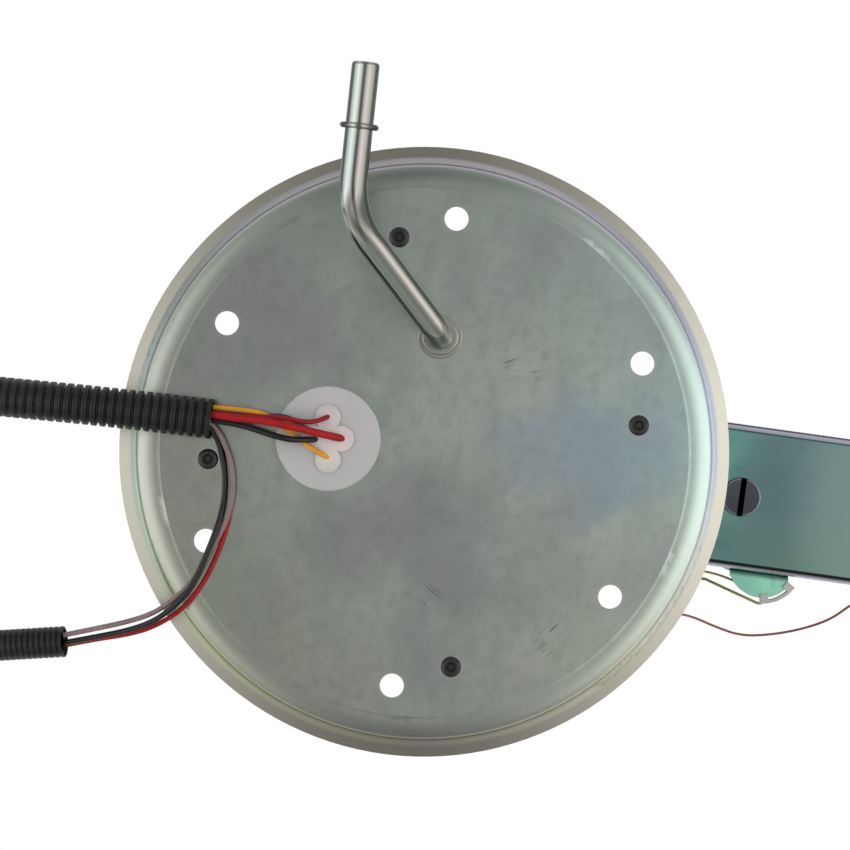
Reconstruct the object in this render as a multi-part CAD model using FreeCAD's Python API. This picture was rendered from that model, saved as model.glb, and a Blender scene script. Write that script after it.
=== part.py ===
import FreeCAD, Part
import math
import os

# Fuel pump hanger: a pressed steel tank flange with an outlet tube, a wire pass-through and two
# conduits on top, and an L-shaped channel below it that carries the electric pump, its strainer
# and the level sender.
# Millimetres. The origin is the centre of the bolt circle on the flange's sealing face,
# +Z points up out of the tank and +X runs along the hanger's foot.

V = FreeCAD.Vector

# Clearances
fit_gap = 0.02
running_gap = 0.05
hole_gap = 0.2
soft_gap = 0.15
seat_gap = 0.3

# How far the middle of a rounded corner stands in, as a share of its radius
corner_share = 1.0 - math.sqrt(0.5)

# Flange plate, a pressed pan
plate_t = 1.5
bolt_circle_r = 85.0
bolt_edge = 10.5
shoulder_r = 9.2
rim_fillet = 3.2
rim_straight = 0.2
lip_reach = 7.0
bolt_hole_r = 4.35
bolt_angles = (30.0, 90.0, 154.7, 210.0, 270.0, 330.0)

# Rubber gasket with four holding nubs
gasket_t = 3.0
gasket_inner_band = 12.0
gasket_edge = 1.5
gasket_bolt_r = 4.8
nub_inset = 7.0
nub_angles = (15.0, 104.5, 189.7, 285.0)
nub_hole_r = 3.2
nub_head_r = 3.7
nub_head_h = 1.4
nub_dimple_r = 1.8
nub_dimple_depth = 0.9
nub_dimple_floor_r = 1.08
nub_side_h = 0.42
nub_dome_mid = (3.18, 1.15)
nub_crown_r = 2.3

# Outlet tube, 3/8 inch with a hose bead
tube_r = 4.7625
tube_wall = 0.9
tube_x = 0.0
tube_y = 42.0
tube_below = 46.0
tube_rise = 12.0
tube_corner = (-36.3, 77.0, 45.0)
tube_tip = (-37.7, 128.8, 50.0)
tube_low_bend = 13.5
tube_high_bend = 30.0
bead_from_tip = 21.7
bead_r = 6.7
bead_w = 2.0
tip_round = 1.2
low_bead_r = 5.2
low_bead_w = 2.4
low_bead_up = 5.0
collar_r = 6.6
collar_h = 1.5
collar_round = 0.6
braze_r = 8.0
braze_h = 0.35

# Wire pass-through, white moulded plug
plug_x = -34.9
plug_y = 0.1
plug_turn = 7.9
disc_r = 18.9
disc_t = 2.8
disc_edge = 0.9
boss_h = 0.8
boss_lobe_r = 4.6
boss_core_r = 5.4
terminal_dx = 4.8
terminal_dy = 7.7
plug_body_r = 14.6
plug_body_down = 13.0
plug_rib_w = 2.0
plug_rib_h = 7.0
seal_r = 16.2
seal_cord_r = 1.1
pin_r = 1.2
pin_up = 1.0
pin_down = 24.0
retainer_t = 0.7
retainer_out_r = 18.2
retainer_teeth = 8
retainer_slot_w = 2.0

# Hanger channel: tab, leg and foot folded from one strip
sheet_t = 1.6
hanger_y = -1.8
edge_bend_r = 2.6
fold_r = 4.0
leg_x = 14.4
tab_len = 26.0
foot_z = -118.0
foot_end_x = 202.0
flange_depth = 14.0
leg_flange_depth = 12.0
notch = 3.0

# Pump, lying under the foot
pump_r = 19.0
pump_in_x = 88.0
pump_out_x = 168.0
crimp_w = 3.0
crimp_depth = 0.7
crimp_from_end = 4.0
can_edge = 1.6
isolator_r = 21.0
isolator_w = 30.0
isolator_lip = 0.8
isolator_lip_w = 2.5
pump_room = 0.9
strap_t = 1.2
strap_w = 16.0
strap_leg_y = 7.0
strap_pad_over = 9.0
clamp_x = 132.8

# Slotted clamp screw
screw_head_r = 8.0
screw_head_h = 2.6
screw_head_edge = 0.7
screw_slot_w = 2.4
screw_slot_depth = 1.4
screw_r = 3.0
nut_af_r = 5.77
nut_h = 4.6
screw_tail = 0.6
screw_point = 0.5

# Pump ends
outlet_cap_r = 17.2
outlet_cap_l = 6.0
outlet_cap_edge = 1.5
nipple_l = 22.0
nipple_bore_r = 2.6
barb_step = 0.35
barb_l = 4.0
barb_count = 3
post_y = 9.0
post_z = 8.6
post_r = 3.4
post_l = 3.0
blade_w = 4.8
blade_t = 0.8
blade_l = 11.0
blade_root = 1.0
inlet_cap_l = 5.0
inlet_cap_r = 16.8
inlet_nipple_r = 5.5
inlet_nipple_l = 13.0
inlet_bore_r = 3.6
inlet_cap_edge = 1.2
inlet_nipple_edge = 1.0

# Push-on connectors of the pump leads
clip_w = 7.2
clip_h = 4.6
clip_l = 13.0
clip_edge = 0.6

# Strainer
strainer_cup_r = 8.4
strainer_cup_l = 13.0
strainer_neck_r = 6.5
sock_l = 92.0
sock_w = 34.0
sock_t = 8.0
sock_end_over = 10.0
sock_rim_t = 1.6
sock_seam = 3.0
sock_seam_t = 0.8
sock_corner = 7.65
sock_edge_round = 3.52
sock_hang = 2.4
strainer_foot_out = 3.0
strainer_neck_inset = 0.4
star_hole_r = 1.6
star_r = 7.8
star_t = 0.6

# Hose from the tube to the pump; its points' third value is the rise above the pump's axis
hose_out_r = 7.4
hose_in_r = tube_r
hose_end_inset = 2.0
hose_top_z = -24.0
hose_points = ((tube_x, tube_y, 82.5), (-1.0, 40.5, 52.5), (2.0, 31.0, 26.5), (13.0, 17.0, 8.5), (32.0, 4.0, 1.0))
hose_flat_x = 56.0
hose_clip_w = 8.0
hose_clip_t = 0.9
hose_clip_from_end = 5.0
hose_screw_r = 2.2
hose_screw_l = 13.0
hose_screw_head_r = 3.3
hose_screw_head_l = 4.0
hose_lug_h = 5.0
hose_lug_inset = 0.5
hose_lug_sink = 1.0
hose_lug_short = 4.0
hose_slot_r = 0.5

# Level sender: a bracket on the hanger's side wall with a round ear, and a case inside the wall
sender_t = 1.2
ear_x = 146.0
ear_inset = 3.5
ear_drop = 3.0
ear_r = 14.0
ear_bend = 2.0
pivot_from_ear = 8.0
screw_from_pivot = (-10.5, -0.5)
sender_screw_drop = 9.5
sender_screw_r = 2.0
sender_head_r = 3.6
sender_head_h = 2.2
sender_nut_r = 4.04
sender_nut_h = 2.8
sender_screw_tail = 0.4
sender_slot_w = 1.0
sender_slot_depth = 1.0
pivot_drop = 22.5
case_w = 27.0
case_h = 32.0
case_past_pivot = 11.0
case_depth = 7.4
case_side_room = 1.6
case_wall = 1.4
case_round = 3.0
bush_r = 3.0
bush_len = 1.1
card_t = 0.8
card_margin = 0.6
bracket_before_case = 5.0
bracket_past_pivot = 3.5
bracket_low_gap = 2.0
lead_hole_back = 12.5
lead_hole_up = 8.9

# Float arm
arm_r = 0.6
arm_root_over = 0.6
arm_out = 15.6
arm_run = 7.4
arm_kink = 26.9
arm_hole_gap = 0.4
arm_length = 108.0
arm_reach_out = 55.8
arm_bend_r = 3.0
hub_r = 4.6
hub_len = 4.4
hub_tail_t = 1.6
hub_tail = 11.0
hub_tail_w = 4.4
wiper_t = 0.4
wiper_len = 12.0
wiper_w = 5.0
wiper_gap = 0.6
wiper_slit = 0.8
lead_hole_x = 141.5
lead_hole_z = -141.1
float_r = 14.0
float_len = 40.0
float_off_wall = 13.2
float_edge = 2.5
float_bore_r = arm_r + running_gap
float_groove = 0.8
push_nut_r = 4.0
push_nut_t = 0.7
push_nut_gap = 0.3

# Lead clip on the ear
lead_clip_r = 15.0
lead_clip_t = 1.3
lead_clip_h = 3.2
lead_clip_from = -86.0
lead_clip_to = -28.0
lead_clip_pad = 3.2
lead_clip_grip = 1.6

# Low-fuel sensor at the foot's outer end
probe_x = 196.0
probe_off_wall = 2.4
probe_r = 3.4
probe_drop = 26.0
probe_len = 21.0
probe_neck_r = 2.2
probe_neck_l = 4.0
probe_clip_t = 0.9
probe_clip_h = 9.0
probe_strip_w = 9.0
probe_strip_drop = 3.5
probe_ring_down = 5.0
probe_ring_gap = 2.4
probe_bridge_w = 3.2
probe_bridge_gap = 0.2
probe_rivet_r = 1.6
probe_rivet_head_r = 2.8
probe_rivet_head_h = 1.1
probe_rivet_drop = 8.0

# Width of the hanger: pump and sender case lie side by side between its walls
hanger_w = 2.0 * (isolator_r + case_side_room + case_depth)
flange_y = hanger_y - hanger_w / 2.0
probe_y = flange_y - probe_off_wall - probe_r
probe_top_z = foot_z - probe_drop

# Places round the float arm's pivot
pivot_x = ear_x + pivot_from_ear
sender_screw_z = foot_z - sender_screw_drop
pivot_z = sender_screw_z - pivot_drop
lead_hole_x = pivot_x - lead_hole_back
lead_hole_z = pivot_z + lead_hole_up

# Conduits: plain tubes here
main_conduit_r = 7.15
main_mouth_x = -76.7
main_points = ((main_mouth_x, 1.4, 9.0), (-113.0, 0.7, 9.0), (-151.0, -1.0, 6.6), (-186.0, -2.4, -3.4),
               (-215.0, -3.4, -24.0), (-233.0, -4.0, -54.0), (-240.0, -4.2, -88.0), (-240.0, -4.2, -118.0))
sensor_conduit_r = 5.65
sensor_points = ((-120.3, -86.4, -6.2), (-142.1, -90.9, -8.2), (-164.0, -96.0, -15.0), (-184.0, -100.6, -29.0),
                 (-198.0, -103.4, -49.0), (-204.5, -104.6, -73.0), (-204.5, -104.6, -96.0))

# Connectors at the conduits' ends
main_plug = {"w": 25.0, "d": 18.0, "h": 30.0, "neck": 7.0, "cells": 4, "cell": 3.6}
sensor_plug = {"w": 19.0, "d": 13.0, "h": 25.0, "neck": 6.0, "cells": 3, "cell": 3.0}
plug_wall = 1.6
plug_cell_depth = 9.0
plug_edge = 1.2
plug_latch_t = 1.4
plug_latch_w = 6.0
plug_latch_len = 17.0
plug_latch_gap = 1.2
plug_ridge_h = 1.2
plug_ridge_w = 2.0
plug_neck_inset = 0.6
plug_overlap = 1.0
plug_latch_down = 2.0
plug_hinge_h = 3.0
plug_hinge_sink = 0.2

# Wires on top of the flange, from the pass-through to the main conduit: diameter and route
top_wires = {
    "wire_red_heavy": (2.75, ((-29.6, 0.8, 4.0), (-37.9, 1.5, 10.6), (-44.8, 2.4, 13.6), (-52.0, 3.0, 14.6),
                              (-59.0, 3.4, 14.2), (-67.0, 3.0, 12.9), (-76.7, 3.0, 12.4))),
    "wire_red_light": (1.75, ((-35.6, 8.2, 4.0), (-38.4, 6.2, 8.4), (-42.2, 5.0, 10.6), (-47.0, 5.0, 11.8),
                              (-52.5, 5.3, 11.7), (-60.0, 4.7, 10.4), (-67.5, 3.7, 9.6), (-76.7, 3.6, 9.6))),
    "wire_yellow": (1.9, ((-33.3, -6.9, 4.0), (-37.4, -5.3, 6.3), (-42.2, -3.1, 6.0), (-48.2, 0.2, 6.2),
                          (-53.5, 3.8, 7.4), (-59.5, 6.0, 8.8), (-67.5, 6.1, 10.0), (-76.7, 5.6, 10.4))),
    "wire_black": (2.3, ((-38.9, -0.7, 4.0), (-43.2, -1.4, 9.2), (-48.0, -2.0, 11.0), (-54.0, -1.4, 11.2),
                         (-60.0, -0.2, 10.6), (-67.5, 1.0, 9.9), (-76.7, 1.1, 9.8))),
    "wire_blue": (1.6, ((-40.8, 1.6, 4.2), (-45.2, 3.8, 5.6), (-50.2, 6.0, 5.4), (-56.2, 5.6, 4.5),
                        (-62.8, 4.6, 4.7), (-69.5, 4.0, 6.0), (-76.7, 3.6, 6.9))),
}

# Sensor leads, from the main conduit's mouth round to the small conduit
sensor_leads = {
    "sensor_lead_black": (2.1, ((-79.5, -0.4, 7.0), (-75.4, -3.4, 4.6), (-72.3, -9.6, 3.0), (-69.9, -17.4, 2.75),
                                (-68.9, -25.4, 3.0), (-69.2, -32.6, 4.4), (-70.4, -39.4, 5.6), (-72.2, -46.6, 5.3),
                                (-74.4, -54.4, 4.8), (-77.4, -61.6, 4.5), (-81.9, -68.0, 3.2), (-88.9, -74.4, 0.7),
                                (-97.6, -78.9, -2.7), (-109.0, -83.0, -5.0), (-120.3, -86.8, -6.0))),
    "sensor_lead_grey": (1.9, ((-79.5, 1.4, 8.2), (-75.0, -1.4, 6.4), (-70.8, -7.6, 4.9), (-67.6, -14.6, 4.5),
                               (-66.2, -22.0, 4.5), (-66.2, -28.0, 4.6), (-66.9, -33.0, 4.4), (-68.3, -38.0, 3.9),
                               (-70.1, -43.0, 3.0), (-72.5, -49.2, 2.6), (-75.1, -55.2, 2.55), (-78.3, -60.6, 2.4),
                               (-83.6, -66.6, 1.4), (-89.6, -71.6, 0.0), (-98.4, -75.8, -1.7),
                               (-109.4, -79.9, -3.6), (-120.6, -83.9, -4.8))),
    "sensor_lead_red": (1.8, ((-79.5, 1.2, 5.6), (-74.9, -1.5, 3.7), (-70.9, -8.2, 2.6), (-67.7, -15.4, 2.45),
                              (-66.4, -23.0, 2.5), (-66.3, -31.0, 2.45), (-66.9, -38.0, 2.5), (-68.1, -44.0, 2.45),
                              (-69.9, -50.6, 2.5), (-72.2, -57.2, 2.45), (-75.5, -63.6, 2.3), (-80.3, -69.8, 0.9),
                              (-88.6, -76.4, -1.9), (-97.8, -80.6, -5.0), (-109.0, -84.0, -7.4),
                              (-119.9, -87.8, -8.4))),
}

# Leads inside the tank, held at both ends
tank_leads = {
    "lead_pump_red": (2.4, ((-30.2, 0.8, -24.0), (-30.2, 0.8, -36.0), (-19.0, 1.6, -48.0), (-4.0, 3.4, -57.0),
                            (5.6, 5.0, -72.0), (7.4, 5.6, -92.0), (8.6, 6.0, -112.0), (17.0, 6.4, -126.0),
                            (34.0, 6.8, -132.0), (52.0, 7.2, -138.6), (64.0, 7.2, -139.9))),
    "lead_pump_black": (2.4, ((-39.7, -0.6, -24.0), (-39.7, -0.6, -38.0), (-28.0, -4.0, -52.0), (-10.0, -7.0, -62.0),
                              (3.0, -9.4, -74.0), (7.2, -10.4, -94.0), (8.4, -10.8, -113.0), (17.0, -10.8, -126.4),
                              (34.0, -10.8, -132.0), (52.0, -10.8, -138.6), (64.0, -10.8, -139.9))),
    "lead_sender": (1.0, ((-33.8, -7.5, -24.0), (-33.8, -7.5, -34.0), (-23.0, -20.0, -45.0), (-4.0, -33.0, -52.0),
                          (14.0, -37.2, -62.0), (26.0, -36.0, -82.0), (38.0, -35.4, -104.0),
                          (58.0, -35.2, -118.0), (84.0, -34.9, -123.6), (108.0, -34.6, -126.0),
                          (125.0, -34.7, -125.8), (134.0, -36.4, -127.6), (140.3, -38.6, -131.6),
                          (141.3, -38.6, -137.5), (lead_hole_x, -35.0, lead_hole_z),
                          (lead_hole_x, -31.1, lead_hole_z))),
    "lead_low_fuel": (1.0, ((-36.0, 7.7, -24.0), (-36.0, 7.7, -33.0), (-24.0, -10.0, -39.0), (-6.0, -30.0, -40.0),
                            (14.0, -42.0, -42.0), (38.0, -48.0, -46.0), (64.0, -51.0, -52.0),
                            (88.0, -52.4, -64.0), (104.0, -52.4, -84.0), (112.0, -52.2, -103.0),
                            (120.0, -53.6, -114.5), (130.0, -56.8, -121.5), (142.0, -59.4, -125.5),
                            (155.0, -57.2, -127.2), (168.0, -52.9, -127.6), (179.0, -47.3, -128.0),
                            (186.5, -39.8, -128.2), (193.5, -37.4, -129.5), (probe_x, probe_y, -135.0),
                            (probe_x, probe_y, -140.0))),
}

# Places that follow from the values above
plate_top = plate_t
face_r = bolt_circle_r + bolt_edge
flange_r = face_r + shoulder_r + lip_reach
nub_circle_r = bolt_circle_r - nub_inset
gasket_in_r = nub_circle_r - gasket_inner_band
gasket_out_r = face_r - gasket_edge
rim_out_r = face_r + shoulder_r
rim_lip_z = plate_t - shoulder_r - rim_straight - rim_fillet
disc_top = plate_top + disc_t
foot_low = foot_z - sheet_t
nut_top_z = foot_low - 2.0 * strap_t
pump_z = nut_top_z - nut_h - pump_room - isolator_r
strap_r = isolator_r + soft_gap
plug_hole_r = plug_body_r + hole_gap
screw_hole_r = screw_r + hole_gap
outlet_face_x = pump_in_x - outlet_cap_l
hose_end_x = outlet_face_x - hose_end_inset
inlet_face_x = pump_out_x + inlet_cap_l
cup_x0 = inlet_face_x + seat_gap
sock_top_z = pump_z - strap_r - strap_t - sock_hang
sender_face_y = flange_y - sender_t
ear_y = flange_y + ear_inset
ear_z = foot_z - ear_drop
case_x1 = pivot_x + case_past_pivot
case_x0 = case_x1 - case_w
case_z0 = pivot_z - case_h / 2.0
case_z1 = pivot_z + case_h / 2.0
sender_x0 = case_x0 - bracket_before_case
sender_x1 = pivot_x + bracket_past_pivot
sender_low_z = case_z0 + bracket_low_gap
sender_screw_x = [pivot_x + step for step in screw_from_pivot]
case_open_y = flange_y + case_depth
case_floor_y = flange_y + case_wall
card_face_y = case_floor_y + fit_gap + card_t
hub_y = card_face_y + wiper_gap + wiper_t
arm_root_y = hub_y + hub_len + arm_root_over
arm_out_y = flange_y - arm_out
arm_run_y = flange_y - arm_run
arm_kink_x = pivot_x - arm_kink
arm_end_x = pivot_x - arm_length
arm_end_y = flange_y - arm_reach_out
float_y = flange_y - float_off_wall
probe_strip_top = foot_z - probe_strip_drop
probe_rivet_z = foot_z - probe_rivet_drop


def vec(point):
    return V(point[0], point[1], point[2])


def cylinder(radius, length, base, axis=(0, 0, 1)):
    """A round bar from base, as long as asked, along axis."""
    return Part.makeCylinder(radius, length, vec(base), vec(axis))


def ring(outer, inner, length, base, axis=(0, 0, 1)):
    return cylinder(outer, length, base, axis).cut(cylinder(inner, length, base, axis))


def box(low, high):
    size = vec(high) - vec(low)
    return Part.makeBox(size.x, size.y, size.z, vec(low))


def polar(radius, angle, z=0.0):
    turn = math.radians(angle)
    return V(radius * math.cos(turn), radius * math.sin(turn), z)


def outline(steps, lift):
    """A flat face from steps: a point is a straight run, a pair of points an arc through the first."""
    edges = []
    here = steps[0]
    for step in list(steps[1:]) + [steps[0]]:
        if isinstance(step[0], tuple):
            middle, end = step
            edges.append(Part.Arc(lift(here), lift(middle), lift(end)).toShape())
        else:
            end = step
            if (lift(here) - lift(end)).Length > 1e-6:
                edges.append(Part.LineSegment(lift(here), lift(end)).toShape())
        here = end
    return Part.Face(Part.Wire(edges))


def arc_mid(centre, radius, angle):
    turn = math.radians(angle)
    return (centre[0] + radius * math.cos(turn), centre[1] + radius * math.sin(turn))


def lathe(steps, base, axis, side):
    """Turns a half outline of (distance along axis, radius) steps about the axis through base."""
    face = outline(steps, lambda p: vec(base) + vec(axis) * p[0] + vec(side) * p[1])
    return face.revolve(vec(base), vec(axis), 360)


def hexagon(corner_r, height, base, axis=(0, 0, 1), flat_turn=0.0):
    """A nut blank: six corners at corner_r about the axis."""
    along = vec(axis)
    side = V(1, 0, 0) if abs(along.x) < 0.5 else V(0, 1, 0)
    cross = along.cross(side)
    points = []
    for step in range(7):
        turn = math.radians(60 * (step % 6) + flat_turn)
        points.append(vec(base) + side * (corner_r * math.cos(turn)) + cross * (corner_r * math.sin(turn)))
    return Part.Face(Part.makePolygon(points)).extrude(along * height)


def route(points, share=0.45, radius=None):
    """Straight runs joined by tangent arcs, each as large as its two runs allow or of a set radius."""
    spots = [vec(p) for p in points]
    edges = []
    radii = []
    start = spots[0]
    for before, corner, after in zip(spots, spots[1:], spots[2:]):
        back = before - corner
        ahead = after - corner
        half = (math.pi - back.getAngle(ahead)) / 2.0
        reach = share * min(back.Length, ahead.Length)
        if radius is not None:
            reach = min(reach / share * 0.49, radius * math.tan(half))
        bend = reach / math.tan(half)
        back.normalize()
        ahead.normalize()
        arc_in = corner + back * reach
        arc_out = corner + ahead * reach
        inward = back + ahead
        inward.normalize()
        middle = corner + inward * (bend / math.cos(half) - bend)
        if (arc_in - start).Length > 1e-6:
            edges.append(Part.LineSegment(start, arc_in).toShape())
        edges.append(Part.Arc(arc_in, middle, arc_out).toShape())
        radii.append(bend)
        start = arc_out
    edges.append(Part.LineSegment(start, spots[-1]).toShape())
    return Part.Wire(edges), radii


def swept(path, radius, start, toward):
    circle = Part.Circle(start, toward - start, radius).toShape()
    return path.makePipeShell([Part.Wire(circle)], True, False)


def cord(name, diameter, points):
    """A cord as a plain tube, with its bends and its volume printed for a look."""
    path, radii = route(points)
    solid = swept(path, diameter / 2.0, vec(points[0]), vec(points[1]))
    ideal = math.pi * diameter ** 2 / 4.0 * path.Length
    print("%-18s length %6.1f  tightest bend %5.1f = %4.1f d  volume ratio %.4f" % (
        name, path.Length, min(radii), min(radii) / diameter, solid.Volume / ideal))
    return solid


def fused(shapes):
    whole = shapes[0]
    for shape in shapes[1:]:
        whole = whole.fuse(shape)
    return whole.removeSplitter()


def flange_plate():
    """The pan: flat face, rolled shoulder and a small outward lip, with its holes."""
    low = shoulder_r - plate_t
    centre = (face_r, plate_t - shoulder_r)
    lip_in = rim_out_r + rim_fillet
    foot = (lip_in, rim_lip_z + rim_fillet)
    steps = [(0.0, plate_t), (face_r, plate_t),
             (arc_mid(centre, shoulder_r, 45), (rim_out_r, centre[1])),
             (rim_out_r, foot[1]),
             (arc_mid(foot, rim_fillet, 225), (lip_in, rim_lip_z)),
             (flange_r, rim_lip_z), (flange_r, rim_lip_z - plate_t), (lip_in, rim_lip_z - plate_t),
             (arc_mid(foot, rim_fillet + plate_t, 225), (rim_out_r - plate_t, foot[1])),
             (rim_out_r - plate_t, centre[1]),
             (arc_mid(centre, low, 45), (face_r, 0.0)),
             (0.0, 0.0)]
    face = outline(steps, lambda p: V(p[0], 0, p[1]))
    plate = face.revolve(V(0, 0, 0), V(0, 0, 1), 360)
    through = 4.0 * plate_t
    holes = [cylinder(bolt_hole_r, through, polar(bolt_circle_r, a, -plate_t)) for a in bolt_angles]
    holes += [cylinder(nub_hole_r + fit_gap, through, polar(nub_circle_r, a, -plate_t)) for a in nub_angles]
    holes.append(cylinder(tube_r + fit_gap, through, (tube_x, tube_y, -plate_t)))
    holes.append(cylinder(plug_hole_r, through, (plug_x, plug_y, -plate_t)))
    for hole in holes:
        plate = plate.cut(hole)
    return plate


def gasket_nub(angle):
    """A nub: stem through the plate, a domed head over it and a dimple in the head."""
    base = polar(nub_circle_r, angle, -gasket_t / 2.0)
    stem = gasket_t / 2.0 + plate_t
    top = stem + nub_head_h
    steps = [(0.0, 0.0), (0.0, nub_hole_r), (stem, nub_hole_r), (stem, nub_head_r),
             (stem + nub_side_h, nub_head_r),
             ((stem + nub_dome_mid[1], nub_dome_mid[0]), (top, nub_crown_r)),
             (top, nub_dimple_r), (top - nub_dimple_depth, nub_dimple_floor_r), (top - nub_dimple_depth, 0.0)]
    return lathe(steps, base, (0, 0, 1), (1, 0, 0))


def flange_gasket():
    band = ring(gasket_out_r, gasket_in_r, gasket_t, (0, 0, -gasket_t))
    for angle in bolt_angles:
        band = band.cut(cylinder(gasket_bolt_r, gasket_t, polar(bolt_circle_r, angle, -gasket_t)))
    return fused([band] + [gasket_nub(a) for a in nub_angles])


def tube_route():
    return ((tube_x, tube_y, -tube_below), (tube_x, tube_y, tube_rise), tube_corner, tube_tip)


def tube_path():
    """The tube's centre line: two bends of their own radius."""
    points = [vec(p) for p in tube_route()]
    edges = []
    start = points[0]
    for before, corner, after, bend in ((points[0], points[1], points[2], tube_low_bend),
                                        (points[1], points[2], points[3], tube_high_bend)):
        back = before - corner
        ahead = after - corner
        half = (math.pi - back.getAngle(ahead)) / 2.0
        back.normalize()
        ahead.normalize()
        inward = back + ahead
        inward.normalize()
        reach = bend * math.tan(half)
        middle = corner + inward * (bend / math.cos(half) - bend)
        edges.append(Part.LineSegment(start, corner + back * reach).toShape())
        edges.append(Part.Arc(corner + back * reach, middle, corner + ahead * reach).toShape())
        start = corner + ahead * reach
    edges.append(Part.LineSegment(start, points[-1]).toShape())
    return Part.Wire(edges)


def tube_bead(centre, along, outer, width):
    """An upset bead: a ring with a rounded rim."""
    side = V(1, 0, 0)
    side = (side - along * side.dot(along))
    side.normalize()
    inner = tube_r - tube_wall / 2.0
    rim = outer - width / 2.0
    steps = [(-width / 2.0, inner), (-width / 2.0, rim), ((0.0, outer), (width / 2.0, rim)),
             (width / 2.0, inner)]
    return lathe(steps, centre, along, side)


def outlet_tube():
    low, corner_low, corner_high, tip = [vec(p) for p in tube_route()]
    along = tip - corner_high
    along.normalize()
    path = tube_path()
    tube = swept(path, tube_r, low, corner_low)
    bead = tube_bead(tip - along * bead_from_tip, along, bead_r, bead_w)
    low_bead = tube_bead(low + V(0, 0, low_bead_up), V(0, 0, 1), low_bead_r, low_bead_w)
    tube = fused([tube, bead])
    cap = tip - along * tip_round
    side = V(1, 0, 0) - along * along.x
    side.normalize()
    over = tube_r + tube_wall
    past = tip_round + tube_wall
    curve = ((1.0 - corner_share) * tip_round, tube_r - corner_share * tip_round)
    steps = [(0.0, over), (0.0, tube_r), (curve, (tip_round, tube_r - tip_round)),
             (past, tube_r - tip_round), (past, over)]
    nose = lathe(steps, cap, along, side)
    tube = tube.cut(nose)
    tube = tube.fuse(low_bead)
    return tube.cut(swept(path, tube_r - tube_wall, low, corner_low)).removeSplitter()


def tube_collar():
    """The ring brazed round the tube where it passes the plate."""
    inner = tube_r + fit_gap
    steps = [(0.0, inner), (0.0, braze_r), (braze_h, braze_r - braze_h), (braze_h, collar_r),
             (collar_h - collar_round, collar_r),
             ((collar_h - corner_share * collar_round, collar_r - corner_share * collar_round),
              (collar_h, collar_r - collar_round)),
             (collar_h, inner)]
    return lathe(steps, (tube_x, tube_y, plate_top), (0, 0, 1), (1, 0, 0))


def terminal_spots():
    """Four terminals in a diamond, turned with the plug: right, top, left, bottom."""
    spots = []
    for x, y in ((terminal_dx, 0.0), (0.0, terminal_dy), (-terminal_dx, 0.0), (0.0, -terminal_dy)):
        turn = math.radians(plug_turn)
        spots.append((plug_x + x * math.cos(turn) - y * math.sin(turn),
                      plug_y + x * math.sin(turn) + y * math.cos(turn)))
    return spots


def pass_through_plug():
    """A moulded disc with a clover boss on top and a ribbed body through the plate."""
    edge = disc_edge
    steps = [(0.0, 0.0), (0.0, disc_r), (disc_t - edge, disc_r),
             ((disc_t - corner_share * edge, disc_r - corner_share * edge), (disc_t, disc_r - edge)), (disc_t, 0.0)]
    disc = lathe(steps, (plug_x, plug_y, plate_top), (0, 0, 1), (1, 0, 0))
    parts = [disc, cylinder(boss_core_r, boss_h, (plug_x, plug_y, disc_top))]
    for x, y in terminal_spots():
        parts.append(cylinder(boss_lobe_r, boss_h, (x, y, disc_top)))
    parts.append(cylinder(plug_body_r, plug_body_down + plate_top, (plug_x, plug_y, -plug_body_down)))
    low = -plug_body_down - plug_rib_h
    for x, y in terminal_spots():
        parts.append(cylinder(boss_lobe_r, plug_rib_h, (x, y, low)))
    parts.append(box((plug_x - plug_rib_w / 2.0, plug_y - terminal_dy, low),
                     (plug_x + plug_rib_w / 2.0, plug_y + terminal_dy, -plug_body_down)))
    plug = fused(parts)
    for x, y in terminal_spots():
        plug = plug.cut(cylinder(pin_r, pin_up + pin_down, (x, y, -pin_down)))
    groove = Part.makeTorus(seal_r, seal_cord_r, V(plug_x, plug_y, plate_top + seal_cord_r - fit_gap))
    return plug.cut(groove)


def plug_seal():
    ring_cord = Part.makeTorus(seal_r, seal_cord_r - fit_gap, V(plug_x, plug_y, plate_top + seal_cord_r))
    return ring_cord.cut(box((plug_x - disc_r, plug_y - disc_r, plate_top - 1.0),
                             (plug_x + disc_r, plug_y + disc_r, plate_top)))


def plug_terminals():
    pins = [cylinder(pin_r, pin_up + pin_down, (x, y, -pin_down)) for x, y in terminal_spots()]
    return Part.makeCompound(pins)


def plug_retainer():
    """A toothed push-on washer that holds the plug against the plate from below."""
    washer = ring(retainer_out_r, plug_body_r, retainer_t, (plug_x, plug_y, -retainer_t))
    for step in range(retainer_teeth):
        slot = box((plug_body_r - 1.0, -retainer_slot_w / 2.0, -retainer_t),
                   (plug_body_r + 2.0, retainer_slot_w / 2.0, 0.0))
        slot.rotate(V(0, 0, 0), V(0, 0, 1), 360.0 / retainer_teeth * (step + 0.5))
        slot.translate(V(plug_x, plug_y, 0))
        washer = washer.cut(slot)
    return washer


def channel_section(width, depth, lift):
    """A channel's cross-section: web at the top, rounded edges and two side walls."""
    half = width / 2.0
    bend = edge_bend_r
    inner = bend - sheet_t
    right = (half - bend, -bend)
    left = (-half + bend, -bend)
    steps = [(-half, -depth), (-half, -bend), (arc_mid(left, bend, 135), (-half + bend, 0.0)),
             (half - bend, 0.0), (arc_mid(right, bend, 45), (half, -bend)), (half, -depth),
             (half - sheet_t, -depth), (half - sheet_t, -bend),
             (arc_mid(right, inner, 45), (half - bend, -sheet_t)),
             (-half + bend, -sheet_t), (arc_mid(left, inner, 135), (-half + sheet_t, -bend)),
             (-half + sheet_t, -depth)]
    return outline(steps, lift)


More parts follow.
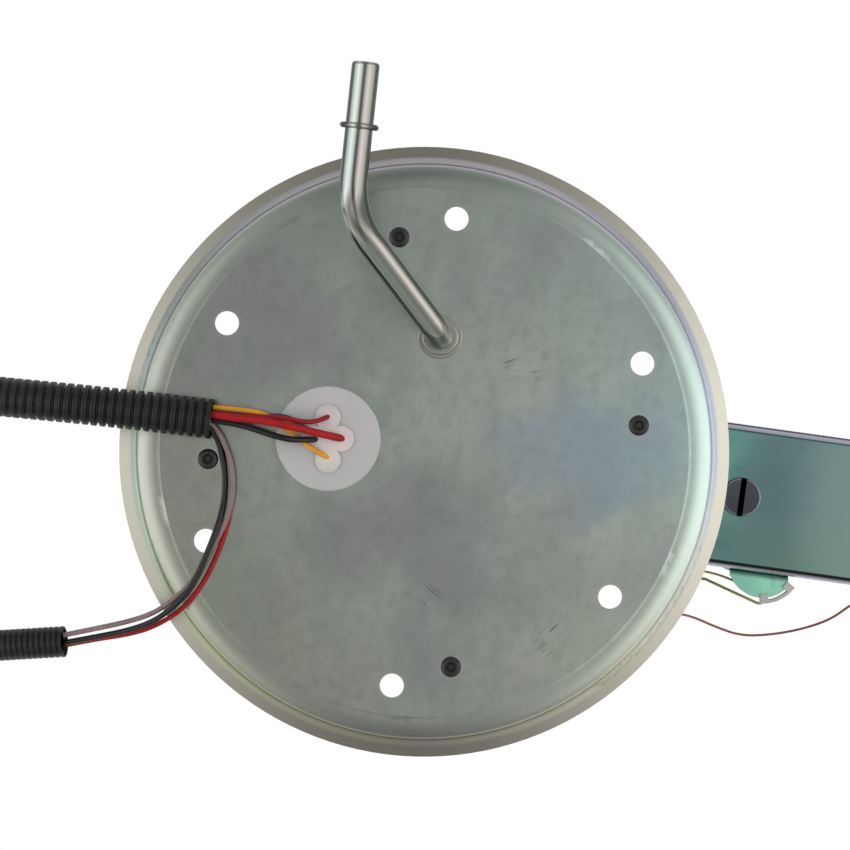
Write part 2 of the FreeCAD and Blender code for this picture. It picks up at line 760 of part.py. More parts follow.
def hanger_bracket():
    """One folded strip: welding tab, leg and foot, with side walls on the leg and the foot."""
    outer = fold_r + sheet_t
    high = (leg_x + outer, -outer)
    deep = (leg_x + outer, foot_low + outer)
    tab_x = leg_x + tab_len
    steps = [(tab_x, 0.0), (leg_x + outer, 0.0), (arc_mid(high, outer, 135), (leg_x, -outer)),
             (leg_x, foot_low + outer), (arc_mid(deep, outer, 225), (leg_x + outer, foot_low)),
             (leg_x + outer + notch, foot_low), (leg_x + outer + notch, foot_z), (leg_x + outer, foot_z),
             (arc_mid(deep, fold_r, 225), (leg_x + sheet_t, deep[1])),
             (leg_x + sheet_t, -outer), (arc_mid(high, fold_r, 135), (leg_x + outer, -sheet_t)),
             (tab_x, -sheet_t)]
    narrow = hanger_w - 2.0 * edge_bend_r
    strip = outline(steps, lambda p: V(p[0], hanger_y - narrow / 2.0, p[1])).extrude(V(0, narrow, 0))
    tab = box((leg_x + outer, hanger_y - hanger_w / 2.0, -sheet_t), (tab_x, hanger_y + hanger_w / 2.0, 0.0))
    foot_x = leg_x + outer + notch
    foot = channel_section(hanger_w, flange_depth, lambda p: V(foot_x, hanger_y + p[0], foot_z + p[1]))
    foot = foot.extrude(V(foot_end_x - foot_x, 0, 0))
    leg_low = foot_low + outer + notch
    leg_high = -outer - notch
    leg = channel_section(hanger_w, leg_flange_depth, lambda p: V(leg_x + sheet_t + p[1], hanger_y + p[0], leg_low))
    leg = leg.extrude(V(0, 0, leg_high - leg_low))
    bracket = fused([strip, tab, foot, leg])
    bracket = bracket.cut(cylinder(screw_hole_r, 4.0 * sheet_t, (clamp_x, hanger_y, foot_low - sheet_t)))
    for x in sender_screw_x:
        bracket = bracket.cut(cylinder(sender_screw_r + fit_gap, 4.0 * sheet_t,
                                       (x, flange_y - sheet_t, sender_screw_z), (0, 1, 0)))
    rivet_hole = cylinder(probe_rivet_r + fit_gap, 4.0 * sheet_t,
                          (probe_x, flange_y - sheet_t, probe_rivet_z), (0, 1, 0))
    return bracket.cut(rivet_hole)


def pump_body():
    """The pump's steel can: rolled edges and a crimp groove near each end."""
    length = pump_out_x - pump_in_x
    groove = pump_r - crimp_depth
    a = crimp_from_end
    b = crimp_from_end + crimp_w
    inset = corner_share * can_edge
    steps = [(0.0, 0.0), (0.0, pump_r - can_edge), ((inset, pump_r - inset), (can_edge, pump_r)),
             (a, pump_r), ((a + crimp_w / 2.0, groove), (b, pump_r)), (length - b, pump_r),
             ((length - a - crimp_w / 2.0, groove), (length - a, pump_r)), (length - can_edge, pump_r),
             ((length - inset, pump_r - inset), (length, pump_r - can_edge)), (length, 0.0)]
    return lathe(steps, (pump_in_x, hanger_y, pump_z), (1, 0, 0), (0, 0, 1))


def post_spots():
    return [(hanger_y + side * post_y, pump_z + post_z) for side in (-1, 1)]


def pump_outlet_cap():
    """The outlet end: a stepped cap, a barbed nipple and two terminal posts."""
    axis = (-1, 0, 0)
    reach = outlet_cap_l + nipple_l
    stem = tube_r - barb_step
    steps = [(0.0, nipple_bore_r), (0.0, outlet_cap_r), (outlet_cap_l - outlet_cap_edge, outlet_cap_r),
             (outlet_cap_l, outlet_cap_r - outlet_cap_edge), (outlet_cap_l, stem)]
    for step in range(barb_count):
        start = reach - barb_l * (barb_count - step)
        steps += [(start, stem), (start, tube_r - fit_gap)]
        if step < barb_count - 1:
            steps.append((start + barb_l, stem))
    steps += [(reach, stem - barb_step), (reach, nipple_bore_r)]
    cap = lathe(steps, (pump_in_x, hanger_y, pump_z), axis, (0, 0, 1))
    for y, z in post_spots():
        cap = cap.fuse(cylinder(post_r, post_l, (outlet_face_x, y, z), axis))
        cap = cap.cut(box((outlet_face_x - post_l - blade_root, y - blade_w / 2.0, z - blade_t / 2.0),
                          (outlet_face_x + blade_root, y + blade_w / 2.0, z + blade_t / 2.0)))
    return cap.removeSplitter()


def pump_terminals():
    blades = []
    for y, z in post_spots():
        blades.append(box((outlet_face_x + blade_root - blade_l, y - blade_w / 2.0, z - blade_t / 2.0),
                          (outlet_face_x + blade_root, y + blade_w / 2.0, z + blade_t / 2.0)))
    return Part.makeCompound(blades)


def pump_lead_clips():
    """Two push-on connectors over the blades, each with its lead coming out at the back."""
    clips = []
    start = outlet_face_x - post_l
    for y, z in post_spots():
        body = box((start - clip_l, y - clip_w / 2.0, z - clip_h / 2.0), (start, y + clip_w / 2.0, z + clip_h / 2.0))
        body = body.makeChamfer(clip_edge, [e for e in body.Edges if abs(e.tangentAt(0).x) > 0.9])
        slot = box((outlet_face_x + blade_root - blade_l, y - blade_w / 2.0, z - blade_t / 2.0),
                   (start, y + blade_w / 2.0, z + blade_t / 2.0))
        clips.append(body.cut(slot))
    return Part.makeCompound(clips)


def pump_inlet_cap():
    axis = (1, 0, 0)
    reach = inlet_cap_l + inlet_nipple_l
    steps = [(0.0, inlet_bore_r), (0.0, inlet_cap_r), (inlet_cap_l - inlet_cap_edge, inlet_cap_r),
             (inlet_cap_l, inlet_cap_r - inlet_cap_edge), (inlet_cap_l, inlet_nipple_r),
             (reach - inlet_nipple_edge, inlet_nipple_r), (reach, inlet_nipple_r - inlet_nipple_edge),
             (reach, inlet_bore_r)]
    return lathe(steps, (pump_out_x, hanger_y, pump_z), axis, (0, 0, 1))


def pump_isolator():
    """A rubber sleeve round the pump with a lip at each end, where the strap sits between."""
    half = isolator_w / 2.0
    lip = isolator_r + isolator_lip
    steps = [(-half, pump_r), (-half, lip), (-half + isolator_lip_w, lip), (-half + isolator_lip_w, isolator_r),
             (half - isolator_lip_w, isolator_r), (half - isolator_lip_w, lip), (half, lip), (half, pump_r)]
    return lathe(steps, (clamp_x, hanger_y, pump_z), (1, 0, 0), (0, 0, 1))


def pump_strap():
    """A steel strap round the pump, whose two ends lap flat under the foot on one screw."""
    low_x = clamp_x - strap_w / 2.0
    hoop = ring(strap_r + strap_t, strap_r, strap_w, (low_x, hanger_y, pump_z), (1, 0, 0))
    gap = box((low_x - strap_t, hanger_y - strap_leg_y, pump_z),
              (low_x + strap_w + strap_t, hanger_y + strap_leg_y, foot_low))
    hoop = hoop.cut(gap)
    root = pump_z + math.sqrt(strap_r ** 2 - strap_leg_y ** 2)
    parts = [hoop]
    for side, top in ((-1, foot_low), (1, foot_low - strap_t)):
        inner = hanger_y + side * strap_leg_y
        outer = inner + side * strap_t
        parts.append(box((low_x, min(inner, outer), root), (low_x + strap_w, max(inner, outer), top)))
        far = inner - side * (strap_leg_y + strap_pad_over - strap_t)
        parts.append(box((low_x, min(outer, far), top - strap_t), (low_x + strap_w, max(outer, far), top)))
    strap = fused(parts)
    strap = strap.cut(cylinder(screw_hole_r, 4.0 * strap_t, (clamp_x, hanger_y, nut_top_z - strap_t)))
    return strap.cut(cylinder(strap_r, strap_w, (low_x, hanger_y, pump_z), (1, 0, 0)))


def clamp_screw():
    """A large round-headed screw with a slot right across its head."""
    edge = screw_head_edge
    tail = foot_z - nut_top_z + nut_h + screw_tail
    inset = corner_share * edge
    steps = [(-tail, 0.0), (-tail, screw_r - screw_point), (-tail + screw_point, screw_r), (0.0, screw_r),
             (0.0, screw_head_r), (screw_head_h - edge, screw_head_r),
             ((screw_head_h - inset, screw_head_r - inset), (screw_head_h, screw_head_r - edge)),
             (screw_head_h, 0.0)]
    screw = lathe(steps, (clamp_x, hanger_y, foot_z), (0, 0, 1), (1, 0, 0))
    half = screw_slot_w / 2.0
    floor = foot_z + screw_head_h - screw_slot_depth
    slot = box((clamp_x - half, hanger_y - 2.0 * screw_head_r, floor),
               (clamp_x + half, hanger_y + 2.0 * screw_head_r, foot_z + 2.0 * screw_head_h))
    return screw.cut(slot)


def clamp_nut():
    nut = hexagon(nut_af_r, nut_h, (clamp_x, hanger_y, nut_top_z - nut_h))
    return nut.cut(cylinder(screw_r, 2.0 * nut_h, (clamp_x, hanger_y, nut_top_z - 1.5 * nut_h)))


def neck_x():
    return cup_x0 + strainer_cup_l - strainer_neck_r - strainer_neck_inset


def strainer_frame():
    """A moulded elbow: a cup on the pump's inlet and a neck down into the sock's rim."""
    cup = cylinder(strainer_cup_r, strainer_cup_l, (cup_x0, hanger_y, pump_z), (1, 0, 0))
    socket = cylinder(inlet_nipple_r + fit_gap, inlet_nipple_l + fit_gap, (inlet_face_x, hanger_y, pump_z), (1, 0, 0))
    depth = pump_z - sock_top_z
    neck = cylinder(strainer_neck_r, depth, (neck_x(), hanger_y, sock_top_z))
    foot = cylinder(strainer_neck_r + strainer_foot_out, sock_rim_t, (neck_x(), hanger_y, sock_top_z))
    return fused([cup, neck, foot]).cut(socket)


def strainer_sock():
    """A flat fuel sock: a padded bag with a pressed seam all round."""
    far = neck_x() + sock_end_over
    near = far - sock_l
    low = sock_top_z - sock_t
    middle = low + sock_t / 2.0
    half = sock_w / 2.0
    bag = box((near, hanger_y - half, low), (far, hanger_y + half, sock_top_z))
    bag = bag.makeFillet(sock_corner, [e for e in bag.Edges if abs(e.tangentAt(0).z) > 0.9])
    rounds = [e for e in bag.Edges if abs(e.BoundBox.ZMax - e.BoundBox.ZMin) < 1e-6]
    bag = bag.makeFillet(sock_edge_round, rounds)
    seam = box((near - sock_seam, hanger_y - half - sock_seam, middle - sock_seam_t / 2.0),
               (far + sock_seam, hanger_y + half + sock_seam, middle + sock_seam_t / 2.0))
    seam = seam.makeFillet(sock_corner + sock_seam, [e for e in seam.Edges if abs(e.tangentAt(0).z) > 0.9])
    return fused([bag, seam])


def strainer_star():
    """The push-on star washer that keeps the strainer's cup on the inlet."""
    spot = (cup_x0 + strainer_cup_l, hanger_y, pump_z)
    washer = cylinder(star_r, star_t, spot, (1, 0, 0))
    return washer.cut(cylinder(star_hole_r, star_t, spot, (1, 0, 0)))


def fuel_hose():
    """The moulded rubber hose from the tube's lower end to the pump's outlet."""
    points = [(tube_x, tube_y, hose_top_z)]
    points += [(x, y, pump_z + rise) for x, y, rise in hose_points]
    points += ((hose_flat_x, hanger_y, pump_z), (hose_end_x, hanger_y, pump_z))
    path, radii = route(points)
    print("fuel_hose          length %6.1f  tightest bend %5.1f" % (path.Length, min(radii)))
    start = vec(points[0])
    toward = vec(points[1])
    hose = swept(path, hose_out_r, start, toward).cut(swept(path, hose_in_r, start, toward))
    bead = tube_bead(V(tube_x, tube_y, -tube_below + low_bead_up), V(0, 0, 1), low_bead_r, low_bead_w)
    return hose.cut(bead)


def hose_clamp(base, axis, side):
    """A band clamp: band, screw housing and worm screw in one group of three solids."""
    along = vec(axis)
    out = vec(side)
    cross = along.cross(out)
    band = ring(hose_out_r + hose_clip_t, hose_out_r, hose_clip_w, base, axis)
    lug_r = hose_out_r + hose_clip_t - fit_gap
    centre = vec(base) + along * (hose_clip_w / 2.0) + out * (lug_r + hose_lug_h / 2.0)
    start = centre - cross * (hose_screw_l / 2.0)
    screw = Part.makeCylinder(hose_screw_r, hose_screw_l, start, cross)
    head = hexagon(hose_screw_head_r, hose_screw_head_l, start - cross * hose_screw_head_l, cross)
    screw = screw.fuse(head).removeSplitter()
    slot_low = start - cross * hose_screw_head_l
    slot = Part.makeCylinder(hose_slot_r, 2.0 * hose_screw_head_r, slot_low - out * hose_screw_head_r, out)
    screw = screw.cut(slot)
    lug_len = hose_screw_l - hose_lug_short
    lug_w = hose_clip_w - 2.0 * hose_lug_inset
    lug = Part.makeBox(lug_w, hose_lug_h + hose_lug_sink, lug_len)
    turn = FreeCAD.Matrix(along.x, out.x, cross.x, 0, along.y, out.y, cross.y, 0,
                          along.z, out.z, cross.z, 0, 0, 0, 0, 1)
    lug = lug.transformGeometry(turn)
    lug.translate(centre - along * (lug_w / 2.0) - out * (hose_lug_h / 2.0 + hose_lug_sink) - cross * (lug_len / 2.0))
    lug = lug.cut(Part.makeCylinder(hose_out_r, hose_clip_w * 3.0, vec(base) - along * hose_clip_w, along))
    band = band.fuse(lug).removeSplitter()
    band = band.cut(Part.makeCylinder(hose_screw_r, hose_screw_l, start, cross))
    return band, screw


def hose_clamps():
    upper = hose_clamp((tube_x, tube_y, hose_top_z - hose_clip_from_end - hose_clip_w), (0, 0, 1), (0, 1, 0))
    lower = hose_clamp((hose_end_x - hose_clip_from_end - hose_clip_w, hanger_y, pump_z), (1, 0, 0), (0, 0, -1))
    return upper, lower


def side_hole(radius, x, z):
    """The tool for a hole through the sender bracket's plate."""
    return cylinder(radius, 3.0 * sender_t, (x, sender_face_y - sender_t, z), (0, 1, 0))


def lead_r(name):
    return tank_leads[name][0] / 2.0


def sender_bracket():
    """A folded steel bracket: a plate on the foot's side wall and a round ear turned out at its top."""
    ear = cylinder(ear_r, sender_t, (ear_x, ear_y, ear_z - sender_t))
    ear = ear.cut(box((ear_x - 2 * ear_r, flange_y - ear_bend - sender_t, ear_z - 2 * sender_t),
                      (ear_x + 2 * ear_r, ear_y + 2 * ear_r, ear_z + sender_t)))
    half = math.sqrt(ear_r ** 2 - (ear_y - flange_y + ear_bend) ** 2)
    inner = (flange_y - ear_bend - sender_t, ear_z - sender_t - ear_bend)
    outer_r = ear_bend + sender_t
    steps = [(flange_y, inner[1]), (arc_mid(inner, outer_r, 45), (inner[0], ear_z)), (inner[0], ear_z - sender_t),
             (arc_mid(inner, ear_bend, 45), (sender_face_y, inner[1]))]
    left = max(sender_x0, ear_x - half)
    right = min(sender_x1, ear_x + half)
    bend = outline(steps, lambda p: V(left, p[0], p[1])).extrude(V(right - left, 0, 0))
    plate = box((sender_x0, sender_face_y, sender_low_z), (sender_x1, flange_y, inner[1]))
    bracket = fused([plate, bend, ear])
    for x in sender_screw_x:
        bracket = bracket.cut(side_hole(sender_screw_r + fit_gap, x, sender_screw_z))
    bracket = bracket.cut(side_hole(lead_r("lead_sender") + running_gap, lead_hole_x, lead_hole_z))
    return bracket.cut(side_hole(arm_r + arm_hole_gap, pivot_x, pivot_z))


def sender_screws():
    """Two pan-head screws through the bracket and the side wall, with their nuts inside."""
    screws = []
    nut_y = flange_y + sheet_t
    for x in sender_screw_x:
        base = (x, sender_face_y, sender_screw_z)
        tail = sender_t + sheet_t + sender_nut_h + sender_screw_tail
        steps = [(-sender_head_h, 0.0), (-sender_head_h, 0.6 * sender_head_r),
                 ((-0.8 * sender_head_h, 0.86 * sender_head_r), (-0.4 * sender_head_h, sender_head_r)),
                 (0.0, sender_head_r), (0.0, sender_screw_r), (tail, sender_screw_r), (tail, 0.0)]
        screw = lathe(steps, base, (0, 1, 0), (0, 0, 1))
        top_y = sender_face_y - sender_head_h
        half = sender_slot_w / 2.0
        slot = box((x - half, top_y - sender_head_h, sender_screw_z - sender_head_r),
                   (x + half, top_y + sender_slot_depth, sender_screw_z + sender_head_r))
        screws.append(screw.cut(slot))
        nut = hexagon(sender_nut_r, sender_nut_h, (x, nut_y, sender_screw_z), (0, 1, 0))
        screws.append(nut.cut(cylinder(sender_screw_r, sender_nut_h, (x, nut_y, sender_screw_z), (0, 1, 0))))
    return Part.makeCompound(screws)


def sender_case():
    """A moulded tray inside the bracket, open towards the pump, with a bush for the float arm's pivot."""
    body = box((case_x0, flange_y, case_z0), (case_x1, case_open_y, case_z1))
    body = body.makeFillet(case_round, [e for e in body.Edges if abs(e.tangentAt(0).y) > 0.9])
    hollow = box((case_x0 + case_wall, case_floor_y, case_z0 + case_wall),
                 (case_x1 - case_wall, case_open_y + case_wall, case_z1 - case_wall))
    hollow = hollow.makeFillet(case_round - case_wall, [e for e in hollow.Edges if abs(e.tangentAt(0).y) > 0.9])
    body = body.cut(hollow)
    bush = cylinder(bush_r, bush_len, (pivot_x, case_floor_y, pivot_z), (0, 1, 0))
    body = fused([body, bush])
    return body.cut(cylinder(arm_r + running_gap, case_depth, (pivot_x, flange_y, pivot_z), (0, 1, 0)))


def resistor_card():
    """The ceramic resistor card on the tray's floor, beside the bush."""
    inset = case_wall + card_margin
    low_x = case_x0 + inset
    high_x = pivot_x - bush_r - card_margin
    card = box((low_x, case_floor_y + fit_gap, case_z0 + inset), (high_x, card_face_y, case_z1 - inset))
    return card.makeChamfer(card_margin, [e for e in card.Edges if abs(e.tangentAt(0).y) > 0.9])


def arm_points():
    points = [(pivot_x, arm_root_y, pivot_z), (pivot_x, arm_out_y, pivot_z)]
    points += [(arm_kink_x, arm_run_y, pivot_z), (arm_end_x, arm_run_y, pivot_z), (arm_end_x, arm_end_y, pivot_z)]
    return points


def float_arm():
    """The wire arm: its inner end is the pivot pin, its outer end carries the float."""
    points = arm_points()
    path, radii = route(points, radius=arm_bend_r)
    return swept(path, arm_r, vec(points[0]), vec(points[1]))


def arm_hub():
    """A moulded hub pressed on the arm's pivot end, with a tail that carries the wiper."""
    hub = cylinder(hub_r, hub_len, (pivot_x, hub_y, pivot_z), (0, 1, 0))
    tail = box((pivot_x - hub_tail, hub_y, pivot_z - hub_tail_w / 2.0),
               (pivot_x, hub_y + hub_tail_t, pivot_z + hub_tail_w / 2.0))
    hub = fused([hub, tail])
    return hub.cut(cylinder(arm_r, 3.0 * hub_len, (pivot_x, hub_y - hub_len, pivot_z), (0, 1, 0)))


def wiper():
    """The sprung contact blade under the hub's tail, with two fingers that sweep over the card."""
    low_x = pivot_x - wiper_len
    low_y = hub_y - wiper_t
    half = wiper_w / 2.0
    blade = box((low_x, low_y, pivot_z - half), (pivot_x - hub_r, hub_y, pivot_z + half))
    tip_y = card_face_y + soft_gap
    finger = box((low_x, tip_y, pivot_z - half), (low_x + wiper_t, hub_y, pivot_z - wiper_slit / 2.0))
    other = box((low_x, tip_y, pivot_z + wiper_slit / 2.0), (low_x + wiper_t, hub_y, pivot_z + half))
    return fused([blade, finger, other])


def sender_float():
    """A hollow-looking moulded float, round with soft edges, free to turn on the arm's end."""
    edge = float_edge
    inset = corner_share * edge
    middle = float_len / 2.0
    steps = [(0.0, float_bore_r), (0.0, float_r - edge), ((inset, float_r - inset), (edge, float_r)),
             (middle - float_groove, float_r),
             ((middle, float_r - float_groove), (middle + float_groove, float_r)),
             (float_len - edge, float_r), ((float_len - inset, float_r - inset), (float_len, float_r - edge)),
             (float_len, float_bore_r)]
    return lathe(steps, (arm_end_x, float_y, pivot_z), (0, -1, 0), (0, 0, 1))


def float_stops():
    """Push nuts on the wire either side of the float."""
    stops = []
    for y in (float_y + push_nut_gap, float_y - float_len - push_nut_gap - push_nut_t):
        stops.append(ring(push_nut_r, arm_r, push_nut_t, (arm_end_x, y, pivot_z), (0, 1, 0)))
    return Part.makeCompound(stops)


def lead_clip():
    """A grey spring clip that hooks round the ear's rim and holds the sender's lead."""
    mid_z = ear_z - sender_t / 2.0
    low = mid_z - lead_clip_h / 2.0
    band = ring(lead_clip_r + lead_clip_t, lead_clip_r, lead_clip_h, (ear_x, ear_y, low))
    wedge_points = [V(ear_x, ear_y, low)]
    steps = 6
    for step in range(steps + 1):
        angle = lead_clip_from + (lead_clip_to - lead_clip_from) * step / steps
        wedge_points.append(V(ear_x, ear_y, low) + polar(2.0 * lead_clip_r, angle))
    wedge_points.append(wedge_points[0])
    wedge = Part.Face(Part.makePolygon(wedge_points)).extrude(V(0, 0, lead_clip_h))
    arms = [band.common(wedge)]
    for angle in (lead_clip_from, lead_clip_to):
        width = lead_clip_pad
        inward = box((ear_r - lead_clip_grip, -width / 2.0, 0.0),
                     (lead_clip_r + lead_clip_t, width / 2.0, lead_clip_h))
        inward = inward.cut(box((0.0, -width, lead_clip_h / 2.0 - sender_t / 2.0),
                                (ear_r, width, lead_clip_h / 2.0 + sender_t / 2.0)))
        turn = angle + (1 if angle == lead_clip_from else -1) * math.degrees(width / 2.0 / lead_clip_r)
        inward.rotate(V(0, 0, 0), V(0, 0, 1), turn)
        inward.translate(V(ear_x, ear_y, low))
        arms.append(inward)
    clip = fused(arms)
    return clip.cut(cylinder(ear_r, sender_t, (ear_x, ear_y, ear_z - sender_t)))


def low_fuel_probe():
    """A small sealed sensor: a capsule with a neck for its lead."""
    steps = [(0.0, 0.0), (0.0, probe_neck_r), (probe_neck_l, probe_neck_r), (probe_neck_l, probe_r),
             (probe_len - probe_r, probe_r), (arc_mid((probe_len - probe_r, 0.0), probe_r, 45), (probe_len, 0.0))]
    base = (probe_x, probe_y, probe_top_z + probe_neck_l)
    return lathe(steps, base, (0, 0, -1), (1, 0, 0))


def probe_clip():
    """A strip riveted to the foot's side wall that ends in a sprung ring round the sensor."""
    half = probe_strip_w / 2.0
    ring_z = probe_top_z - probe_ring_down - probe_clip_h
    strip = box((probe_x - half, flange_y - probe_clip_t, ring_z), (probe_x + half, flange_y, probe_strip_top))
    hoop = ring(probe_r + probe_clip_t, probe_r, probe_clip_h, (probe_x, probe_y, ring_z))
    half_gap = probe_ring_gap / 2.0
    gap = box((probe_x - half_gap, probe_y - 3.0 * probe_r, ring_z),
              (probe_x + half_gap, probe_y, ring_z + probe_clip_h))
    hoop = hoop.cut(gap)
    side = probe_bridge_w / 2.0
    bridge = box((probe_x - side, probe_y + probe_r + probe_bridge_gap, ring_z),
                 (probe_x + side, flange_y, ring_z + probe_clip_h))
    clip = fused([strip, hoop, bridge])
    return clip.cut(cylinder(probe_rivet_r + fit_gap, 4.0 * probe_clip_t,
                             (probe_x, flange_y - 2.0 * probe_clip_t, probe_rivet_z), (0, 1, 0)))


def probe_rivet():
    base = (probe_x, flange_y - probe_clip_t, probe_rivet_z)
    grip = probe_clip_t + sheet_t
    head = probe_rivet_head_h
    steps = [(-head, 0.0), ((-0.7 * head, 0.7 * probe_rivet_head_r), (0.0, probe_rivet_head_r)), (0.0, probe_rivet_r),
             (grip, probe_rivet_r), (grip, 0.8 * probe_rivet_head_r), (grip + 0.6 * head, 0.6 * probe_rivet_head_r),
             (grip + 0.6 * head, 0.0)]
    return lathe(steps, base, (0, 1, 0), (0, 0, 1))


def harness_plug(place, size):
    """A square connector below a conduit's end: neck, body, terminal cells and a latch."""
    x, y, z = place
    top = z - size["neck"]
    low = top - size["h"]
    neck_r = size["d"] / 2.0 - plug_neck_inset
    neck = cylinder(neck_r, size["neck"] + plug_overlap, (x, y, top - plug_overlap))
    body = box((x - size["w"] / 2.0, y - size["d"] / 2.0, low), (x + size["w"] / 2.0, y + size["d"] / 2.0, top))
    body = body.makeFillet(plug_edge, [e for e in body.Edges if abs(e.tangentAt(0).z) > 0.9])
    ridge = box((x - size["w"] / 2.0 - plug_ridge_h, y - plug_ridge_w / 2.0, low),
                (x + size["w"] / 2.0 + plug_ridge_h, y + plug_ridge_w / 2.0, top - size["h"] / 3.0))
    face_y = y + size["d"] / 2.0
    latch_top = top - plug_latch_down
    latch_low = latch_top - plug_latch_len
    left = x - plug_latch_w / 2.0
    right = x + plug_latch_w / 2.0
    latch = box((left, face_y + plug_latch_gap, latch_low),
                (right, face_y + plug_latch_gap + plug_latch_t, latch_top))
    hinge = box((left, face_y - plug_hinge_sink, latch_low),
                (right, face_y + plug_latch_gap + plug_hinge_sink, latch_low + plug_hinge_h))
    plug = fused([neck, body, ridge, latch, hinge])
    pitch = (size["w"] - 2.0 * plug_wall) / size["cells"]
    for step in range(size["cells"]):
        cx = x - size["w"] / 2.0 + plug_wall + pitch * (step + 0.5)
        half = size["cell"] / 2.0
        plug = plug.cut(box((cx - half, y - half, low - plug_overlap), (cx + half, y + half, low + plug_cell_depth)))
    return plug


def write(name, shape):
    shape.exportStep("parts/" + name + ".step")


def main():
    os.makedirs("parts", exist_ok=True)
    clamps = hose_clamps()
    nodes = {
        "flange_plate": flange_plate(),
        "flange_gasket": flange_gasket(),
        "outlet_tube": outlet_tube(),
        "tube_collar": tube_collar(),
        "pass_through_plug": pass_through_plug(),
        "plug_seal": plug_seal(),
        "plug_terminals": plug_terminals(),
        "plug_retainer": plug_retainer(),
        "hanger_bracket": hanger_bracket(),
        "pump_body": pump_body(),
        "pump_outlet_cap": pump_outlet_cap(),
        "pump_terminals": pump_terminals(),
        "pump_lead_clips": pump_lead_clips(),
        "pump_inlet_cap": pump_inlet_cap(),
        "pump_isolator": pump_isolator(),
        "pump_strap": pump_strap(),
        "clamp_screw": clamp_screw(),
        "clamp_nut": clamp_nut(),
        "strainer_frame": strainer_frame(),
        "strainer_sock": strainer_sock(),
        "strainer_star": strainer_star(),
        "fuel_hose": fuel_hose(),
        "hose_bands": Part.makeCompound([pair[0] for pair in clamps]),
        "hose_screws": Part.makeCompound([pair[1] for pair in clamps]),
        "sender_bracket": sender_bracket(),
        "sender_screws": sender_screws(),
        "sender_case": sender_case(),
        "resistor_card": resistor_card(),
        "float_arm": float_arm(),
        "arm_hub": arm_hub(),
        "wiper": wiper(),
        "sender_float": sender_float(),
        "float_stops": float_stops(),
        "lead_clip": lead_clip(),
        "low_fuel_probe": low_fuel_probe(),
        "probe_clip": probe_clip(),
        "probe_rivet": probe_rivet(),
        "main_connector": harness_plug(main_points[-1], main_plug),
        "sensor_connector": harness_plug(sensor_points[-1], sensor_plug),
        "conduit_main": cord("conduit_main", 2.0 * main_conduit_r, main_points),
        "conduit_sensor": cord("conduit_sensor", 2.0 * sensor_conduit_r, sensor_points),
    }
    for cords in (top_wires, sensor_leads, tank_leads):
        for name, (diameter, points) in cords.items():
            nodes[name] = cord(name, diameter, points)
    for name, shape in nodes.items():
        write(name, shape)


main()
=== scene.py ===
import bpy
import math
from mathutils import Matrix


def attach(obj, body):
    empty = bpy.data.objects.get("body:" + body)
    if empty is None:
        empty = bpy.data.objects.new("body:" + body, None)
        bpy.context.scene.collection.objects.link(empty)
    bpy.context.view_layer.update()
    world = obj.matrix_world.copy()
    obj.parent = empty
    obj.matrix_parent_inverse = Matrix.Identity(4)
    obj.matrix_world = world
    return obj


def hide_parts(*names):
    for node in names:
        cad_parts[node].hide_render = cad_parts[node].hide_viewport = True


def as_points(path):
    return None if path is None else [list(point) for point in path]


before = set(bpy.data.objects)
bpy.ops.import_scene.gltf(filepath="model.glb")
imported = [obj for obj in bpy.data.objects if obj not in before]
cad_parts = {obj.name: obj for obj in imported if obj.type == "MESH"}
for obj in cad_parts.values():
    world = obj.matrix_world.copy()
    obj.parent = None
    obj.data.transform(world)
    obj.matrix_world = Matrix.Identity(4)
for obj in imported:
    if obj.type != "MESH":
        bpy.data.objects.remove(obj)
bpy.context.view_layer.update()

# Flange plate. A pan drawn from steel sheet, pierced and zinc plated, with a passivation film
# that turns teal, olive and violet over the rolled rim. Handling has left it cloudy.
photo_turn = 7.9
face_edge, shoulder, lip_start = 0.0955, 0.0092, 0.107
bolt_circle, bolt_angles = 85.0, (30.0, 90.0, 154.7, 210.0, 270.0, 330.0)
nub_circle, nub_angles = 78.0, (15.0, 104.5, 189.7, 285.0)


class Value:
    """A socket that takes part in sums."""

    def __init__(self, shader, socket):
        self.shader = shader
        self.socket = socket

    def math(self, operation, other=0.0):
        return self.shader.math(operation, self, other)

    def __add__(self, other):
        return self.math("ADD", other)

    def __radd__(self, other):
        return self.shader.math("ADD", other, self)

    def __sub__(self, other):
        return self.math("SUBTRACT", other)

    def __rsub__(self, other):
        return self.shader.math("SUBTRACT", other, self)

    def __mul__(self, other):
        return self.math("MULTIPLY", other)

    def __rmul__(self, other):
        return self.shader.math("MULTIPLY", other, self)

    def __truediv__(self, other):
        return self.math("DIVIDE", other)

    def __pow__(self, other):
        return self.math("POWER", other)

    def __abs__(self):
        return self.math("ABSOLUTE")

    def rise(self, low, high):
        """0 below low, 1 above high and smooth between."""
        inputs = {"Value": self, "From Min": low, "From Max": high}
        smooth = {"interpolation_type": "SMOOTHSTEP"}
        return self.shader.node("ShaderNodeMapRange", smooth, inputs)["Result"]

    def band(self, low, low_end, high, high_end):
        """1 between low_end and high, 0 below low and above high_end."""
        return self.rise(low, low_end) * (1.0 - self.rise(high, high_end))


class Made:
    """A node, read by the name of its output."""

    def __init__(self, shader, node):
        self.shader = shader
        self.node = node

    def __getitem__(self, name):
        return Value(self.shader, self.node.outputs[name])


